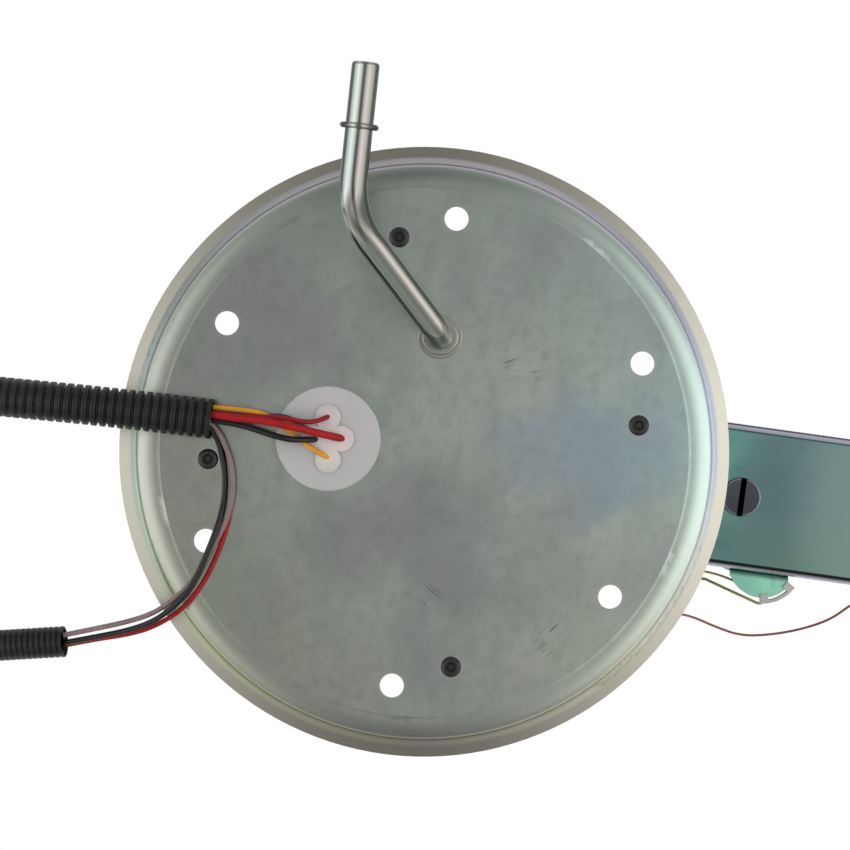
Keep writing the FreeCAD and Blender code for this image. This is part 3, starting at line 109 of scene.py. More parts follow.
class Nodes:
    """A node tree that is filled by calls and sums."""

    def __init__(self, owner):
        owner.use_nodes = True
        self.tree = owner.node_tree
        self.tree.nodes.clear()

    def node(self, kind, settings=None, inputs=None):
        node = self.tree.nodes.new(kind)
        for name, value in (settings or {}).items():
            if name == "stops":
                self.stops(node.color_ramp, value)
            else:
                setattr(node, name, value)
        for name, value in (inputs or {}).items():
            self.feed(node.inputs[name], value)
        return Made(self, node)

    def stops(self, ramp, stops):
        while len(ramp.elements) < len(stops):
            ramp.elements.new(1.0)
        for element, (place, tone) in zip(ramp.elements, stops):
            element.position = place
            element.color = (*tone, 1.0)

    def feed(self, socket, value):
        if isinstance(value, Value):
            self.tree.links.new(value.socket, socket)
        elif isinstance(value, tuple) and len(value) == 3 and socket.type == "RGBA":
            socket.default_value = (*value, 1.0)
        else:
            socket.default_value = value

    def math(self, operation, first, second):
        inputs = {0: first, 1: second}
        return self.node("ShaderNodeMath", {"operation": operation}, inputs)["Value"]

    def axes(self, vector):
        split = self.node("ShaderNodeSeparateXYZ", {}, {"Vector": vector})
        return split["X"], split["Y"], split["Z"]

    def ramp(self, value, stops):
        return self.node("ShaderNodeValToRGB", {"stops": stops}, {"Fac": value})["Color"]

    def lines(self, across, along=0.0):
        """Noise drawn out into lines, from two sums in place of coordinates."""
        place = self.node("ShaderNodeCombineXYZ", {}, {"X": across, "Y": along})["Vector"]
        inputs = {"Vector": place, "Scale": 1.0, "Detail": 2.0}
        return self.node("ShaderNodeTexNoise", {}, inputs)["Fac"]


class Shader(Nodes):
    """A material that ends in one Principled surface and reads the piece's own coordinates."""

    def __init__(self, name):
        self.material = bpy.data.materials.new(name)
        super().__init__(self.material)
        self.surface = self.node("ShaderNodeBsdfPrincipled")
        self.node("ShaderNodeOutputMaterial", {}, {"Surface": self.surface["BSDF"]})
        self.place = self.node("ShaderNodeTexCoord")["Object"]
        self.x, self.y, self.z = self.axes(self.place)

    def set(self, **inputs):
        for name, value in inputs.items():
            self.feed(self.surface.node.inputs[name.replace("_", " ")], value)
        return self

    def noise(self, scale, detail=3.0, stretch=(1.0, 1.0, 1.0)):
        inputs = {"Vector": self.place, "Scale": stretch}
        moved = self.node("ShaderNodeMapping", {}, inputs)["Vector"]
        inputs = {"Vector": moved, "Scale": scale, "Detail": detail}
        return self.node("ShaderNodeTexNoise", {}, inputs)["Fac"]

    def mix(self, share, first, second):
        made = self.node("ShaderNodeMix", {"data_type": "RGBA"}, {0: share, 6: first, 7: second})
        return Value(self, made.node.outputs[2])

    def scaled(self, tint, share):
        inputs = {"Vector": tint, "Scale": share}
        return self.node("ShaderNodeVectorMath", {"operation": "SCALE"}, inputs)["Vector"]

    def over(self, tint, *layers):
        """Lays display colours over a tint in turn, each with its share."""
        for share, tone in layers:
            tint = self.mix(share, tint, colour(*tone))
        return tint

    def bump(self, height, distance, strength=1.0):
        inputs = {"Height": height, "Distance": distance, "Strength": strength}
        return self.node("ShaderNodeBump", {}, inputs)["Normal"]

    def away(self, spot):
        """How far a point lies, seen from above, from a spot in mm; the answer is in metres."""
        across = self.x - spot[0] / 1000.0
        along = self.y - spot[1] / 1000.0
        return (across * across + along * along) ** 0.5

    def near(self, spot, reach, ragged=0.0):
        """1 at a spot of the part, x and y in mm, and 0 at its reach, with a ragged edge."""
        away = self.away(spot)
        if ragged:
            wander = self.noise(900.0 / reach, 3.0) - 0.5
            away = away + wander * (ragged * reach / 1000.0)
        return 1.0 - away.rise(reach * 0.0004, reach / 1000.0)


def colour(red, green, blue):
    """A display colour, 0 to 255, as the linear one that the shader takes."""
    linear = []
    for level in (red, green, blue):
        share = level / 255.0
        linear.append(((share + 0.055) / 1.055) ** 2.4 if level > 10 else share / 12.92)
    return tuple(linear)


def shade(tone, share):
    """A display colour made darker or paler, as the shader takes it."""
    return colour(*[level * share for level in tone])


def dress(material, *nodes):
    """Gives pieces of the frame their finish."""
    for node in nodes:
        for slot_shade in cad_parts[node].material_slots:
            slot_shade.material = material


def tones(shader, share, places, list_of_tones):
    stops = [(place, colour(*tone)) for place, tone in zip(places, list_of_tones)]
    return shader.ramp(share, stops)


plate = Shader("zinc plate film")
radius = plate.away((0.0, 0.0))
angle = plate.math("ARCTAN2", plate.y, plate.x) - math.radians(photo_turn)
turn = angle / (2.0 * math.pi) + 0.5
rightward, upward = angle.math("COSINE"), angle.math("SINE")

# The film's hues round the plate: left, lower left, bottom, lower right, right and top.
round_at = (0.0, 0.125, 0.25, 0.375, 0.5, 0.75, 1.0)
face_hues = ((162, 164, 154), (166, 170, 154), (174, 178, 172), (178, 184, 170),
             (164, 183, 175), (169, 178, 170))
teal, olive, bronze, pearl = (177, 195, 186), (210, 215, 182), (191, 184, 170), (224, 224, 203)
pale_blue, violet, straw = (176, 188, 201), (211, 204, 212), (205, 201, 187)


def film(*hues):
    """Hues laid round the plate; the last stop is the first hue again."""
    return tones(plate, turn, round_at, hues + hues[:1])


# On the rim the film lies in four rings: the roll, the wall, the fillet and the lip. Each has
# its start and end, its film, and its painted highlight: its level, and how much brighter it is
# at both sides, at the right and at the top.
face_film, rim_film = film(*face_hues), film(teal, olive, bronze, pearl, pale_blue, violet)
film_and_highlight_rings = (
    (0.0945, 0.1005, face_film, 0.757, 0.296, 0.038, 0.004),
    (0.1024, 0.1046, rim_film, 0.824, 0.131, 0.064, 0.012),
    (0.1052, 0.1066, rim_film, 0.836, -0.035, 0.052, 0.003),
    (0.1069, 0.1084, colour(*straw), 0.661, 0.201, 0.055, 0.02),
)
cloud = plate.noise(13.0, 5.0)
smear = plate.noise(48.0, 6.0)
grain = plate.noise(420.0, 4.0)
streaks = plate.noise(70.0, 6.0, (1.0, 0.25, 1.0))
specks = plate.noise(260.0, 5.0)
tint = plate.mix(radius.rise(0.035, 0.09), colour(180, 187, 179), face_film)
tint = plate.over(tint, (cloud.rise(0.46, 0.66) * 0.6, (150, 149, 153)),
                  (streaks.rise(0.36, 0.7) * 0.3, (142, 154, 144)),
                  (specks.rise(0.42, 0.74) * 0.25, (126, 132, 126)),
                  (smear.rise(0.42, 0.74) * 0.35, (142, 151, 143)))

# Large blots left by handling, each with its place and reach in mm, its tone and its share.
blots = (
    ((-29.0, 38.0), 26.0, (136, 133, 136), 0.22), ((-3.0, -16.0), 22.0, (138, 134, 135), 0.16),
    ((-26.0, -35.0), 22.0, (130, 128, 130), 0.26), ((49.0, 4.0), 30.0, (140, 158, 180), 0.4),
    ((74.0, 5.0), 26.0, (142, 160, 172), 0.4), ((84.0, 22.0), 18.0, (148, 160, 180), 0.3),
    ((15.0, -44.0), 14.0, (134, 134, 130), 0.12), ((-52.0, 40.0), 20.0, (150, 148, 158), 0.3),
)
for spot, reach, tone, share in blots:
    tint = plate.over(tint, (plate.near(spot, reach, 1.7) * share, tone))
wavy = radius + (cloud - 0.5) * 0.0008
# Each ring's film is scaled by its painted highlight, brighter at the sides, the right and the top.
for start, end, tone, level, sides, right, top in film_and_highlight_rings:
    painted_rim_light = abs(rightward) ** 1.5 * sides + rightward * right + upward * top + level
    tint = plate.mix(wavy.rise(start, end), tint, plate.scaled(tone, painted_rim_light ** 2.3))

# Halos of clean zinc at the bolt holes and nubs.
halos = [(bolt_circle, angle, 6.4, (186, 184, 170)) for angle in bolt_angles]
halos += [(nub_circle, angle, 5.6, (176, 178, 168)) for angle in nub_angles]
for out, angle, reach, tone in halos:
    spot = (out * math.cos(math.radians(angle)), out * math.sin(math.radians(angle)))
    tint = plate.over(tint, (plate.near(spot, reach) * 0.55, tone))

# Scratches: short dark lines in three patches, each with its place, reach and angle.
scratches = (((31.0, 36.0), 10.0, 28.0), ((8.0, -50.0), 9.0, -35.0), ((54.0, -60.0), 8.0, 50.0))
for spot, reach, angle in scratches:
    laid = math.radians(angle)
    across = plate.y * math.cos(laid) - plate.x * math.sin(laid)
    along = plate.x * math.cos(laid) + plate.y * math.sin(laid)
    line = plate.lines(across * 1500.0, along * 90.0)
    marked = line.rise(0.62, 0.68) * plate.near(spot, reach, 0.8)
    tint = plate.over(tint, (marked * 0.8, (84, 88, 84)))

# The rolled shoulder starts gently and the lip slopes a little, both as relief.
swell = (radius - face_edge).math("MAXIMUM", 0.0).math("MINIMUM", shoulder)
skirt = (radius - lip_start).math("MAXIMUM", 0.0)
dents = plate.noise(60.0, 3.0)
relief = dents * 0.00004 + grain * 0.000005 + swell * swell * 54.0 - skirt * 0.22
dull = 0.14 + grain * 0.06 + smear * 0.08 + radius.rise(0.0945, 0.1015) * 0.15
plate.set(Base_Color=tint, Metallic=1.0, Roughness=dull, Normal=plate.bump(relief, 1.0, 1.0))
dress(plate.material, "flange_plate")

# Gasket. A flat ring of black nitrile rubber under the plate, held by four nubs pulled up
# through the plate, whose domed heads are glossy with a dimple.


def rubber(name, tone=(31, 30, 31), rough=0.6):
    made = Shader(name)
    bloom = made.noise(50.0, 5.0)
    fine = made.noise(900.0, 2.0)
    tint = made.mix(bloom.rise(0.4, 0.75), colour(*tone), shade(tone, 1.5))
    return made.set(Base_Color=tint, Roughness=rough + fine * 0.12, Specular_IOR_Level=0.35,
                    Normal=made.bump(fine, 0.00004, 0.5))


nitrile = rubber("gasket rubber")
nitrile.set(Roughness=0.62 - nitrile.z.rise(0.0012, 0.002) * 0.34)
dress(nitrile.material, "flange_gasket")
dress(rubber("seal rubber").material, "plug_seal")

# Outlet tube. Drawn steel tube, bent twice and beaded near its end for the hose, with an upset
# ring brazed round it at the plate. Zinc plated, with painted shade at both edges and painted
# highlight lines along it.
tube_radius = 0.00476


def zinc(name, pale, dark, rough):
    """Zinc plating; its tint is kept for a film laid over it."""
    made = Shader(name)
    cloud = made.noise(30.0, 5.0)
    grain = made.noise(900.0, 3.0)
    spots = made.noise(160.0, 5.0).rise(0.58, 0.72)
    made.tint = made.mix(cloud.rise(0.3, 0.7), colour(*dark), colour(*pale))
    made.tint = made.mix(spots * 0.35, made.tint, shade(dark, 0.72))
    return made.set(Base_Color=made.tint, Metallic=1.0, Roughness=rough + grain * 0.14,
                    Normal=made.bump(grain, 0.00002, 0.4))


tube = zinc("tube zinc", (168, 172, 164), (136, 146, 142), 0.08)
bands = tube.noise(70.0, 2.0, (1.0, 0.35, 0.5))
tint = tube.over(tube.tint, (bands.rise(0.52, 0.6) * 0.5, (142, 176, 160)),
                 (bands.rise(0.6, 0.68) * 0.5, (186, 156, 162)))

# Painted shade and highlight across the tube, dark at both edges with bright lines between,
# follow the tube: how far a point lies to the side of its straight end and of its slanting
# run, from -1 to 1, with a smooth change over the bend between them.
end_run = (tube.x + 0.0363 + (tube.y - 0.077) * 0.027) / tube_radius
slant_run = (tube.x * 0.694 + (tube.y - 0.042) * 0.72) / tube_radius
side = slant_run + (end_run - slant_run) * tube.y.rise(0.068, 0.086)
tube_light_at = (0.0, 0.1, 0.19, 0.3, 0.42, 0.5, 0.57, 0.68, 0.8, 0.9, 1.0)
tube_light_tones = ((56, 60, 58), (72, 76, 74), (138, 146, 143), (180, 184, 180), (134, 142, 134),
               (112, 116, 108), (122, 118, 112), (164, 157, 151), (134, 131, 123), (76, 77, 72),
               (56, 58, 55))
tube.set(Base_Color=tube.mix(0.92, tint, tones(tube, (side + 1.0) / 2.0, tube_light_at, tube_light_tones)))
dress(tube.material, "outlet_tube")
dress(zinc("brazed zinc", (158, 160, 152), (126, 128, 120), 0.3).material, "tube_collar")

# Wire pass-through. A disc and ribbed body moulded in natural white nylon, with four pins
# through it; a toothed spring washer holds it from below. The boss is tinted round each wire in
# that wire's own colour.
plug_spot, boss_reach = (-34.9, 0.1), 14.5
nylon = Shader("natural nylon")
flow = nylon.noise(45.0, 4.0)
tint = nylon.mix(flow, colour(164, 163, 162), colour(176, 175, 174))
boss = nylon.z.rise(0.0044, 0.005) * nylon.near(plug_spot, boss_reach)
wire_tints = (((-30.2, 0.8), 6.0, (216, 150, 158), 0.18), ((-35.6, 7.7), 5.5, (212, 160, 172), 0.18),
          ((-33.8, -7.5), 5.5, (216, 196, 150), 0.2), ((-40.0, 0.4), 5.0, (176, 168, 182), 0.3))
tint = nylon.over(tint, (boss, (196, 191, 190)),
                  *[(nylon.near(spot, reach) * share, tone) for spot, reach, tone, share in wire_tints])
nylon.set(Base_Color=tint, Roughness=0.42 + flow * 0.1, Specular_IOR_Level=0.4,
          Normal=nylon.bump(flow, 0.0002, 0.4))
dress(nylon.material, "pass_through_plug")


def metal(name, tone, rough=0.3):
    made = Shader(name)
    grain = made.noise(700.0, 3.0)
    worn = made.noise(60.0, 4.0)
    return made.set(Base_Color=made.mix(worn, shade(tone, 0.8), colour(*tone)), Metallic=1.0,
                    Roughness=rough + grain * 0.15, Normal=made.bump(grain, 0.00002, 0.5))


spring = metal("spring steel", (136, 138, 140)).material
brass = metal("tinned brass", (196, 172, 112), 0.26).material
dress(brass, "plug_terminals", "pump_terminals")
dress(spring, "plug_retainer")

# Hanger. One strip of steel folded into a welding tab, a leg and a foot with side walls, plated
# like the flange under a thicker blue-green film, with painted shade along the lower folded edge.
foot_middle = -0.0018
hanger = zinc("blue-green zinc", (110, 147, 139), (90, 124, 119), 0.16)
drift = (hanger.noise(22.0, 4.0) - 0.5) * 0.03
out, up = hanger.x + drift, hanger.y + drift
tint = hanger.over(hanger.tint, (out.rise(0.12, 0.145) * 0.75, (86, 109, 114)),
                   ((1.0 - up.rise(-0.03, 0.004)) * hanger.x.rise(0.11, 0.17) * 0.6,
                    (96, 124, 104)),
                   ((1.0 - out.rise(0.1, 0.145)) * hanger.y.rise(-0.03, 0.02) * 0.6,
                    (92, 164, 146)),
                   (out.rise(0.15, 0.175) * 0.5, (124, 146, 138)))

# The folds along the foot's two long edges carry a painted highlight on the bend and painted
# shade beside it.
fold_light_at = (0.0, 0.02, 0.03, 0.034, 0.05, 0.056, 0.08, 0.9, 0.958, 0.966, 0.984, 0.99, 1.0)
fold_light_tones = ((196, 190, 202), (188, 186, 196), (40, 46, 44), (28, 34, 33), (34, 42, 40),
              (160, 192, 176), (118, 146, 140), (100, 136, 132), (44, 60, 60), (182, 184, 196),
              (170, 170, 184), (52, 60, 62), (60, 66, 66))
fold_light = tones(hanger, (hanger.y + 0.0318) / 0.06, fold_light_at, fold_light_tones)
at_edge = abs(hanger.y - foot_middle).rise(0.0266, 0.0274)
on_foot = hanger.z.band(-0.1235, -0.1215, -0.1165, -0.116) * hanger.x.rise(0.024, 0.028)
hanger.set(Base_Color=hanger.mix(at_edge * on_foot, tint, fold_light))
dress(hanger.material, "hanger_bracket")

# Clamp. A steel strap round the pump's rubber sleeve, its two ends lapped under the foot on one
# large slotted screw of blackened steel, with a nut below.
screw_x, slot_half = 0.1328, 0.0012
blackened = metal("blackened steel", (74, 76, 80), 0.34)
on_head = blackened.z.rise(-0.1176, -0.1172)
# The screw head's slotted recess is painted near black as shade, and a paler ring lies round the
# head's edge.
slot_shade = ((1.0 - abs(blackened.x - screw_x).rise(slot_half, 0.00135))
        * (1.0 - blackened.z.rise(-0.11556, -0.11546)))
rim = blackened.away((screw_x * 1000.0, foot_middle * 1000.0)).rise(0.0071, 0.0075)
tint = blackened.mix(blackened.noise(80.0, 4.0), colour(58, 60, 64), colour(84, 86, 90))
tint = blackened.over(tint, (rim * on_head, (128, 130, 132)), (slot_shade * on_head, (3, 3, 3)))
blackened.set(Base_Color=tint)
dress(blackened.material, "clamp_screw")
dress(zinc("strap zinc", (128, 140, 136), (96, 108, 106), 0.3).material, "pump_strap")
dress(spring, "clamp_nut")
dress(rubber("sleeve rubber", (36, 35, 35), 0.66).material, "pump_isolator")

# Pump. A drawn steel can with a crimp near each end that holds its moulded end caps; the can is
# tinned and carries fine turning lines. Two push-on connectors sit on its blades.
can = Shader("tinned can")
turning = can.lines(can.x * 5000.0)
worn = can.noise(35.0, 5.0)
barrel = can.x.band(0.0925, 0.0935, 0.1635, 0.1645)
tint = can.mix(worn.rise(0.4, 0.7), colour(188, 190, 188), colour(150, 152, 148))
tint = can.mix(barrel, colour(162, 164, 162), tint)
can.set(Base_Color=tint, Metallic=1.0, Roughness=0.2 + turning * 0.14 + worn * 0.08,
        Normal=can.bump(turning, 0.00002, 0.5))
dress(can.material, "pump_body")


def moulded(name, tone, rough=0.42, fine=500.0, specular=0.4):
    made = Shader(name)
    flow = made.noise(40.0, 4.0)
    pores = made.noise(fine, 2.0)
    made.set(Base_Color=made.mix(flow, shade(tone, 0.82), colour(*tone)),
             Roughness=rough + flow * 0.12, Specular_IOR_Level=specular,
             Normal=made.bump(pores, 0.00003, 0.4))
    return made.material


dress(moulded("black acetal", (30, 30, 32)), "pump_outlet_cap", "pump_inlet_cap", "strainer_frame")
dress(moulded("white nylon", (214, 210, 204)), "pump_lead_clips")

# Hose. Moulded fuel rubber with a cloth-wrap texture from curing, pushed over the tube and the
# pump's barbs and held by two steel worm-drive bands.
hose = rubber("hose rubber", (30, 30, 32), 0.64)
weave = (hose.z * 5200.0).math("SINE") * ((hose.x + hose.y) * 5200.0).math("SINE")
hose.set(Normal=hose.bump(weave, 0.00005, 0.6), Roughness=0.62 + weave * 0.05)
dress(hose.material, "fuel_hose")
band = metal("stainless band", (176, 178, 178), 0.24)
ribs = ((band.x + band.z) * 4200.0).math("SINE")
band.set(Normal=band.bump(ribs.rise(0.2, 0.8), 0.00012, 0.6))
dress(band.material, "hose_bands")
dress(metal("zinc worm screw", (196, 190, 164), 0.26).material, "hose_screws")

# Strainer. A flat bag of woven nylon, heat sealed along its rim, on a moulded elbow that pushes
# on the pump's inlet under a star washer.
threads = 12000.0
sock = Shader("woven nylon")
cloth = (sock.x * threads).math("SINE") * (sock.y * threads).math("SINE")
inside = ((1.0 - abs(sock.y - foot_middle).rise(0.0158, 0.017))
          * sock.x.band(0.0994, 0.1006, 0.1872, 0.1884))
tint = sock.mix(sock.noise(30.0, 4.0), colour(206, 198, 176), colour(222, 216, 198))
tint = sock.over(tint, (cloth.rise(-0.2, 0.6) * 0.4, (170, 164, 146)))
tint = sock.mix(inside, colour(226, 222, 208), tint)
sock.set(Base_Color=tint, Roughness=0.72, Normal=sock.bump(cloth, 0.00008, 0.7))
dress(sock.material, "strainer_sock")
dress(spring, "strainer_star")

# Level sender. A folded steel bracket screwed to the foot's side wall, with a round ear, and a
# moulded tray inside the wall that holds the resistor card; a sprung wiper sweeps the card.
pivot_x, pivot_z = 0.154, -0.15
dress(zinc("mint zinc", (150, 208, 184), (124, 178, 158), 0.3).material, "sender_bracket")
dress(metal("zinc screws", (186, 184, 164), 0.28).material, "sender_screws")
dress(moulded("grey acetal", (118, 120, 118)), "sender_case", "arm_hub")
card = Shader("ceramic card")
from_pivot = ((card.x - pivot_x) ** 2.0 + (card.z - pivot_z) ** 2.0) ** 0.5
inked = from_pivot.band(0.0088, 0.009, 0.0128, 0.013)
silver = inked * (from_pivot * 7000.0).math("SINE").rise(-0.1, 0.1)
tint = card.mix(card.noise(80.0, 3.0), colour(206, 202, 190), colour(220, 216, 206))
tint = card.over(tint, (inked, (52, 50, 48)), (silver, (176, 176, 170)))
card.set(Base_Color=tint, Metallic=silver * 0.8, Roughness=0.42)
dress(card.material, "resistor_card")
dress(brass, "wiper")
dress(metal("clip steel", (190, 190, 186), 0.34).material, "lead_clip")

# Float and its arm. Spring wire with a yellow passivation, pressed in a moulded hub; a solid
# nitrile foam float turns on its end between two push nuts.
dress(zinc("yellow passivated wire", (176, 158, 106), (142, 128, 84), 0.26).material, "float_arm")
dress(spring, "float_stops")
foam = Shader("nitrile foam")
cells = foam.node("ShaderNodeTexVoronoi", {}, {"Vector": foam.place, "Scale": 900.0})["Distance"]
foam.set(Base_Color=foam.mix(cells, colour(30, 26, 24), colour(62, 54, 48)), Roughness=0.8,
         Normal=foam.bump(cells, 0.0002, 0.7))
dress(foam.material, "sender_float")

# Low-fuel sensor. A small capsule of sealed plastic at the foot's end, held by a strip of
# spring steel with one rivet.
dress(moulded("sealed capsule", (34, 34, 36), 0.36), "low_fuel_probe")
dress(spring, "probe_clip", "probe_rivet")

# Leads in the tank. Thin tinned-copper leads in fuel-proof insulation, from the plug's pins to
# the pump, the sender and the low-fuel sensor, each held at both ends.


def spline(name, points, radius, material, resolution=12):
    curve = bpy.data.curves.new(name, "CURVE")
    curve.dimensions = "3D"
    line = curve.splines.new("NURBS")
    line.points.add(len(points) - 1)
    for point, place in zip(line.points, points):
        point.co = (*place, 1.0)
    line.order_u = 3
    line.use_endpoint_u = True
    curve.resolution_u = resolution
    curve.bevel_depth = radius
    curve.bevel_resolution = 5
    curve.use_fill_caps = True
    if material:
        curve.materials.append(material)
    made = bpy.data.objects.new(name, curve)
    bpy.context.scene.collection.objects.link(made)
    return made


def insulation(name, tone, rough=0.3, specular=0.5):
    made = Shader(name)
    dust = made.noise(150.0, 4.0)
    made.set(Base_Color=made.mix(dust.rise(0.3, 0.7), shade(tone, 0.86), colour(*tone)),
             Roughness=rough + dust * 0.12, Specular_IOR_Level=specular)
    return made.material


def lead(node, width, length, material, slot_shade, points):
    piece = spline(node + "_line", points, width / 2.0, material)
    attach(piece, "hanger")
    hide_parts(node)
    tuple(points[0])


red = insulation("red insulation", (156, 5, 12), 0.4, 0.25)
black = insulation("black insulation", (17, 16, 18), 0.26, 0.35)
yellow = insulation("yellow insulation", (212, 146, 20))
olive = insulation("olive insulation", (152, 128, 72))
brown = insulation("brown insulation", (134, 58, 48))
tank_leads = (
    ("lead_pump_red", 0.0024, 0.1675, red, "wire_red", (
        (-0.0302, 0.0008, -0.024), (-0.0302, 0.0008, -0.036), (-0.019, 0.0016, -0.048),
        (-0.004, 0.0034, -0.057), (0.0056, 0.005, -0.072), (0.0074, 0.0056, -0.092),
        (0.0086, 0.006, -0.112), (0.017, 0.0064, -0.126), (0.034, 0.0068, -0.132),
        (0.052, 0.0072, -0.1386), (0.064, 0.0072, -0.1399))),
    ("lead_pump_black", 0.0024, 0.1735, black, "wire_black", (
        (-0.0397, -0.0006, -0.024), (-0.0397, -0.0006, -0.038), (-0.028, -0.004, -0.052),
        (-0.01, -0.007, -0.062), (0.003, -0.0094, -0.074), (0.0072, -0.0104, -0.094),
        (0.0084, -0.0108, -0.113), (0.017, -0.0108, -0.1264), (0.034, -0.0108, -0.132),
        (0.052, -0.0108, -0.1386), (0.064, -0.0108, -0.1399))),
    ("lead_sender", 0.001, 0.2442, olive, "wire_yellow", (
        (-0.0338, -0.0075, -0.024), (-0.0338, -0.0075, -0.034), (-0.023, -0.02, -0.045),
        (-0.004, -0.033, -0.052), (0.014, -0.0372, -0.062), (0.026, -0.036, -0.082),
        (0.038, -0.0354, -0.104), (0.058, -0.0352, -0.118), (0.084, -0.0349, -0.1236),
        (0.108, -0.0346, -0.126), (0.125, -0.0347, -0.1258), (0.134, -0.0364, -0.1276),
        (0.1403, -0.0386, -0.1316), (0.1413, -0.0386, -0.1375), (0.1415, -0.035, -0.1411),
        (0.1415, -0.0311, -0.1411))),
    ("lead_low_fuel", 0.001, 0.3112, brown, "wire_brown", (
        (-0.036, 0.0077, -0.024), (-0.036, 0.0077, -0.033), (-0.024, -0.01, -0.039),
        (-0.006, -0.03, -0.04), (0.014, -0.042, -0.042), (0.038, -0.048, -0.046),
        (0.064, -0.051, -0.052), (0.088, -0.0524, -0.064), (0.104, -0.0524, -0.084),
        (0.112, -0.0522, -0.103), (0.12, -0.0536, -0.1145), (0.13, -0.0568, -0.1215),
        (0.142, -0.0594, -0.1255), (0.155, -0.0572, -0.1272), (0.168, -0.0529, -0.1276),
        (0.179, -0.0473, -0.128), (0.1865, -0.0398, -0.1282), (0.1935, -0.0374, -0.1295),
        (0.196, -0.0376, -0.135), (0.196, -0.0376, -0.14))),
)
for wire in tank_leads:
    lead(*wire)

# Wires over the flange. Stranded leads in coloured insulation, set in the plug's pins and led
# loose into the conduit's open end.
dark_red = insulation("dark red insulation", (146, 12, 24), 0.4, 0.25)
blue = insulation("blue insulation", (34, 38, 84))
top_wires = (
    ("wire_red_heavy", 0.00275, 0.0502, red, "wire_red", (
        (-0.0296, 0.0008, 0.004), (-0.0379, 0.0015, 0.0106), (-0.0448, 0.0024, 0.0136),
        (-0.052, 0.003, 0.0146), (-0.059, 0.0034, 0.0142), (-0.067, 0.003, 0.0129),
        (-0.0767, 0.003, 0.0124))),
    ("wire_red_light", 0.00175, 0.0449, dark_red, "wire_dark_red", (
        (-0.0356, 0.0082, 0.004), (-0.0384, 0.0062, 0.0084), (-0.0422, 0.005, 0.0106),
        (-0.047, 0.005, 0.0118), (-0.0525, 0.0053, 0.0117), (-0.06, 0.0047, 0.0104),
        (-0.0675, 0.0037, 0.0096), (-0.0767, 0.0036, 0.0096))),
    ("wire_yellow", 0.0019, 0.0473, yellow, "wire_yellow", (
        (-0.0333, -0.0069, 0.004), (-0.0374, -0.0053, 0.0063), (-0.0422, -0.0031, 0.006),
        (-0.0482, 0.0002, 0.0062), (-0.0535, 0.0038, 0.0074), (-0.0595, 0.006, 0.0088),
        (-0.0675, 0.0061, 0.01), (-0.0767, 0.0056, 0.0104))),
    ("wire_black", 0.0023, 0.0408, black, "wire_black", (
        (-0.0389, -0.0007, 0.004), (-0.0432, -0.0014, 0.0092), (-0.048, -0.002, 0.011),
        (-0.054, -0.0014, 0.0112), (-0.06, -0.0002, 0.0106), (-0.0675, 0.001, 0.0099),
        (-0.0767, 0.0011, 0.0098))),
    ("wire_blue", 0.0016, 0.0373, blue, "wire_blue", (
        (-0.0408, 0.0016, 0.0042), (-0.0452, 0.0038, 0.0056), (-0.0502, 0.006, 0.0054),
        (-0.0562, 0.0056, 0.0045), (-0.0628, 0.0046, 0.0047), (-0.0695, 0.004, 0.006),
        (-0.0767, 0.0036, 0.0069))),
)
for wire in top_wires:
    lead(*wire)

# Conduits. Black split loom moulded in corrugated polyethylene, hollow, with the wires led in
# at the open end. Each ring follows the next along the cord's own line.


def evaluated_mesh(host):
    """A plain mesh of what an object's curve or modifier makes; the object is removed."""
    bpy.context.view_layer.update()
    evaluated = host.evaluated_get(bpy.context.evaluated_depsgraph_get())
    mesh = bpy.data.meshes.new_from_object(evaluated)
    bpy.data.objects.remove(host)
    return mesh


def line_points(points):
    """The route's smooth line, read back from its spline."""
    mesh = evaluated_mesh(spline("line", points, 0.0, None, 16))
    return [vertex.co.copy() for vertex in mesh.vertices]


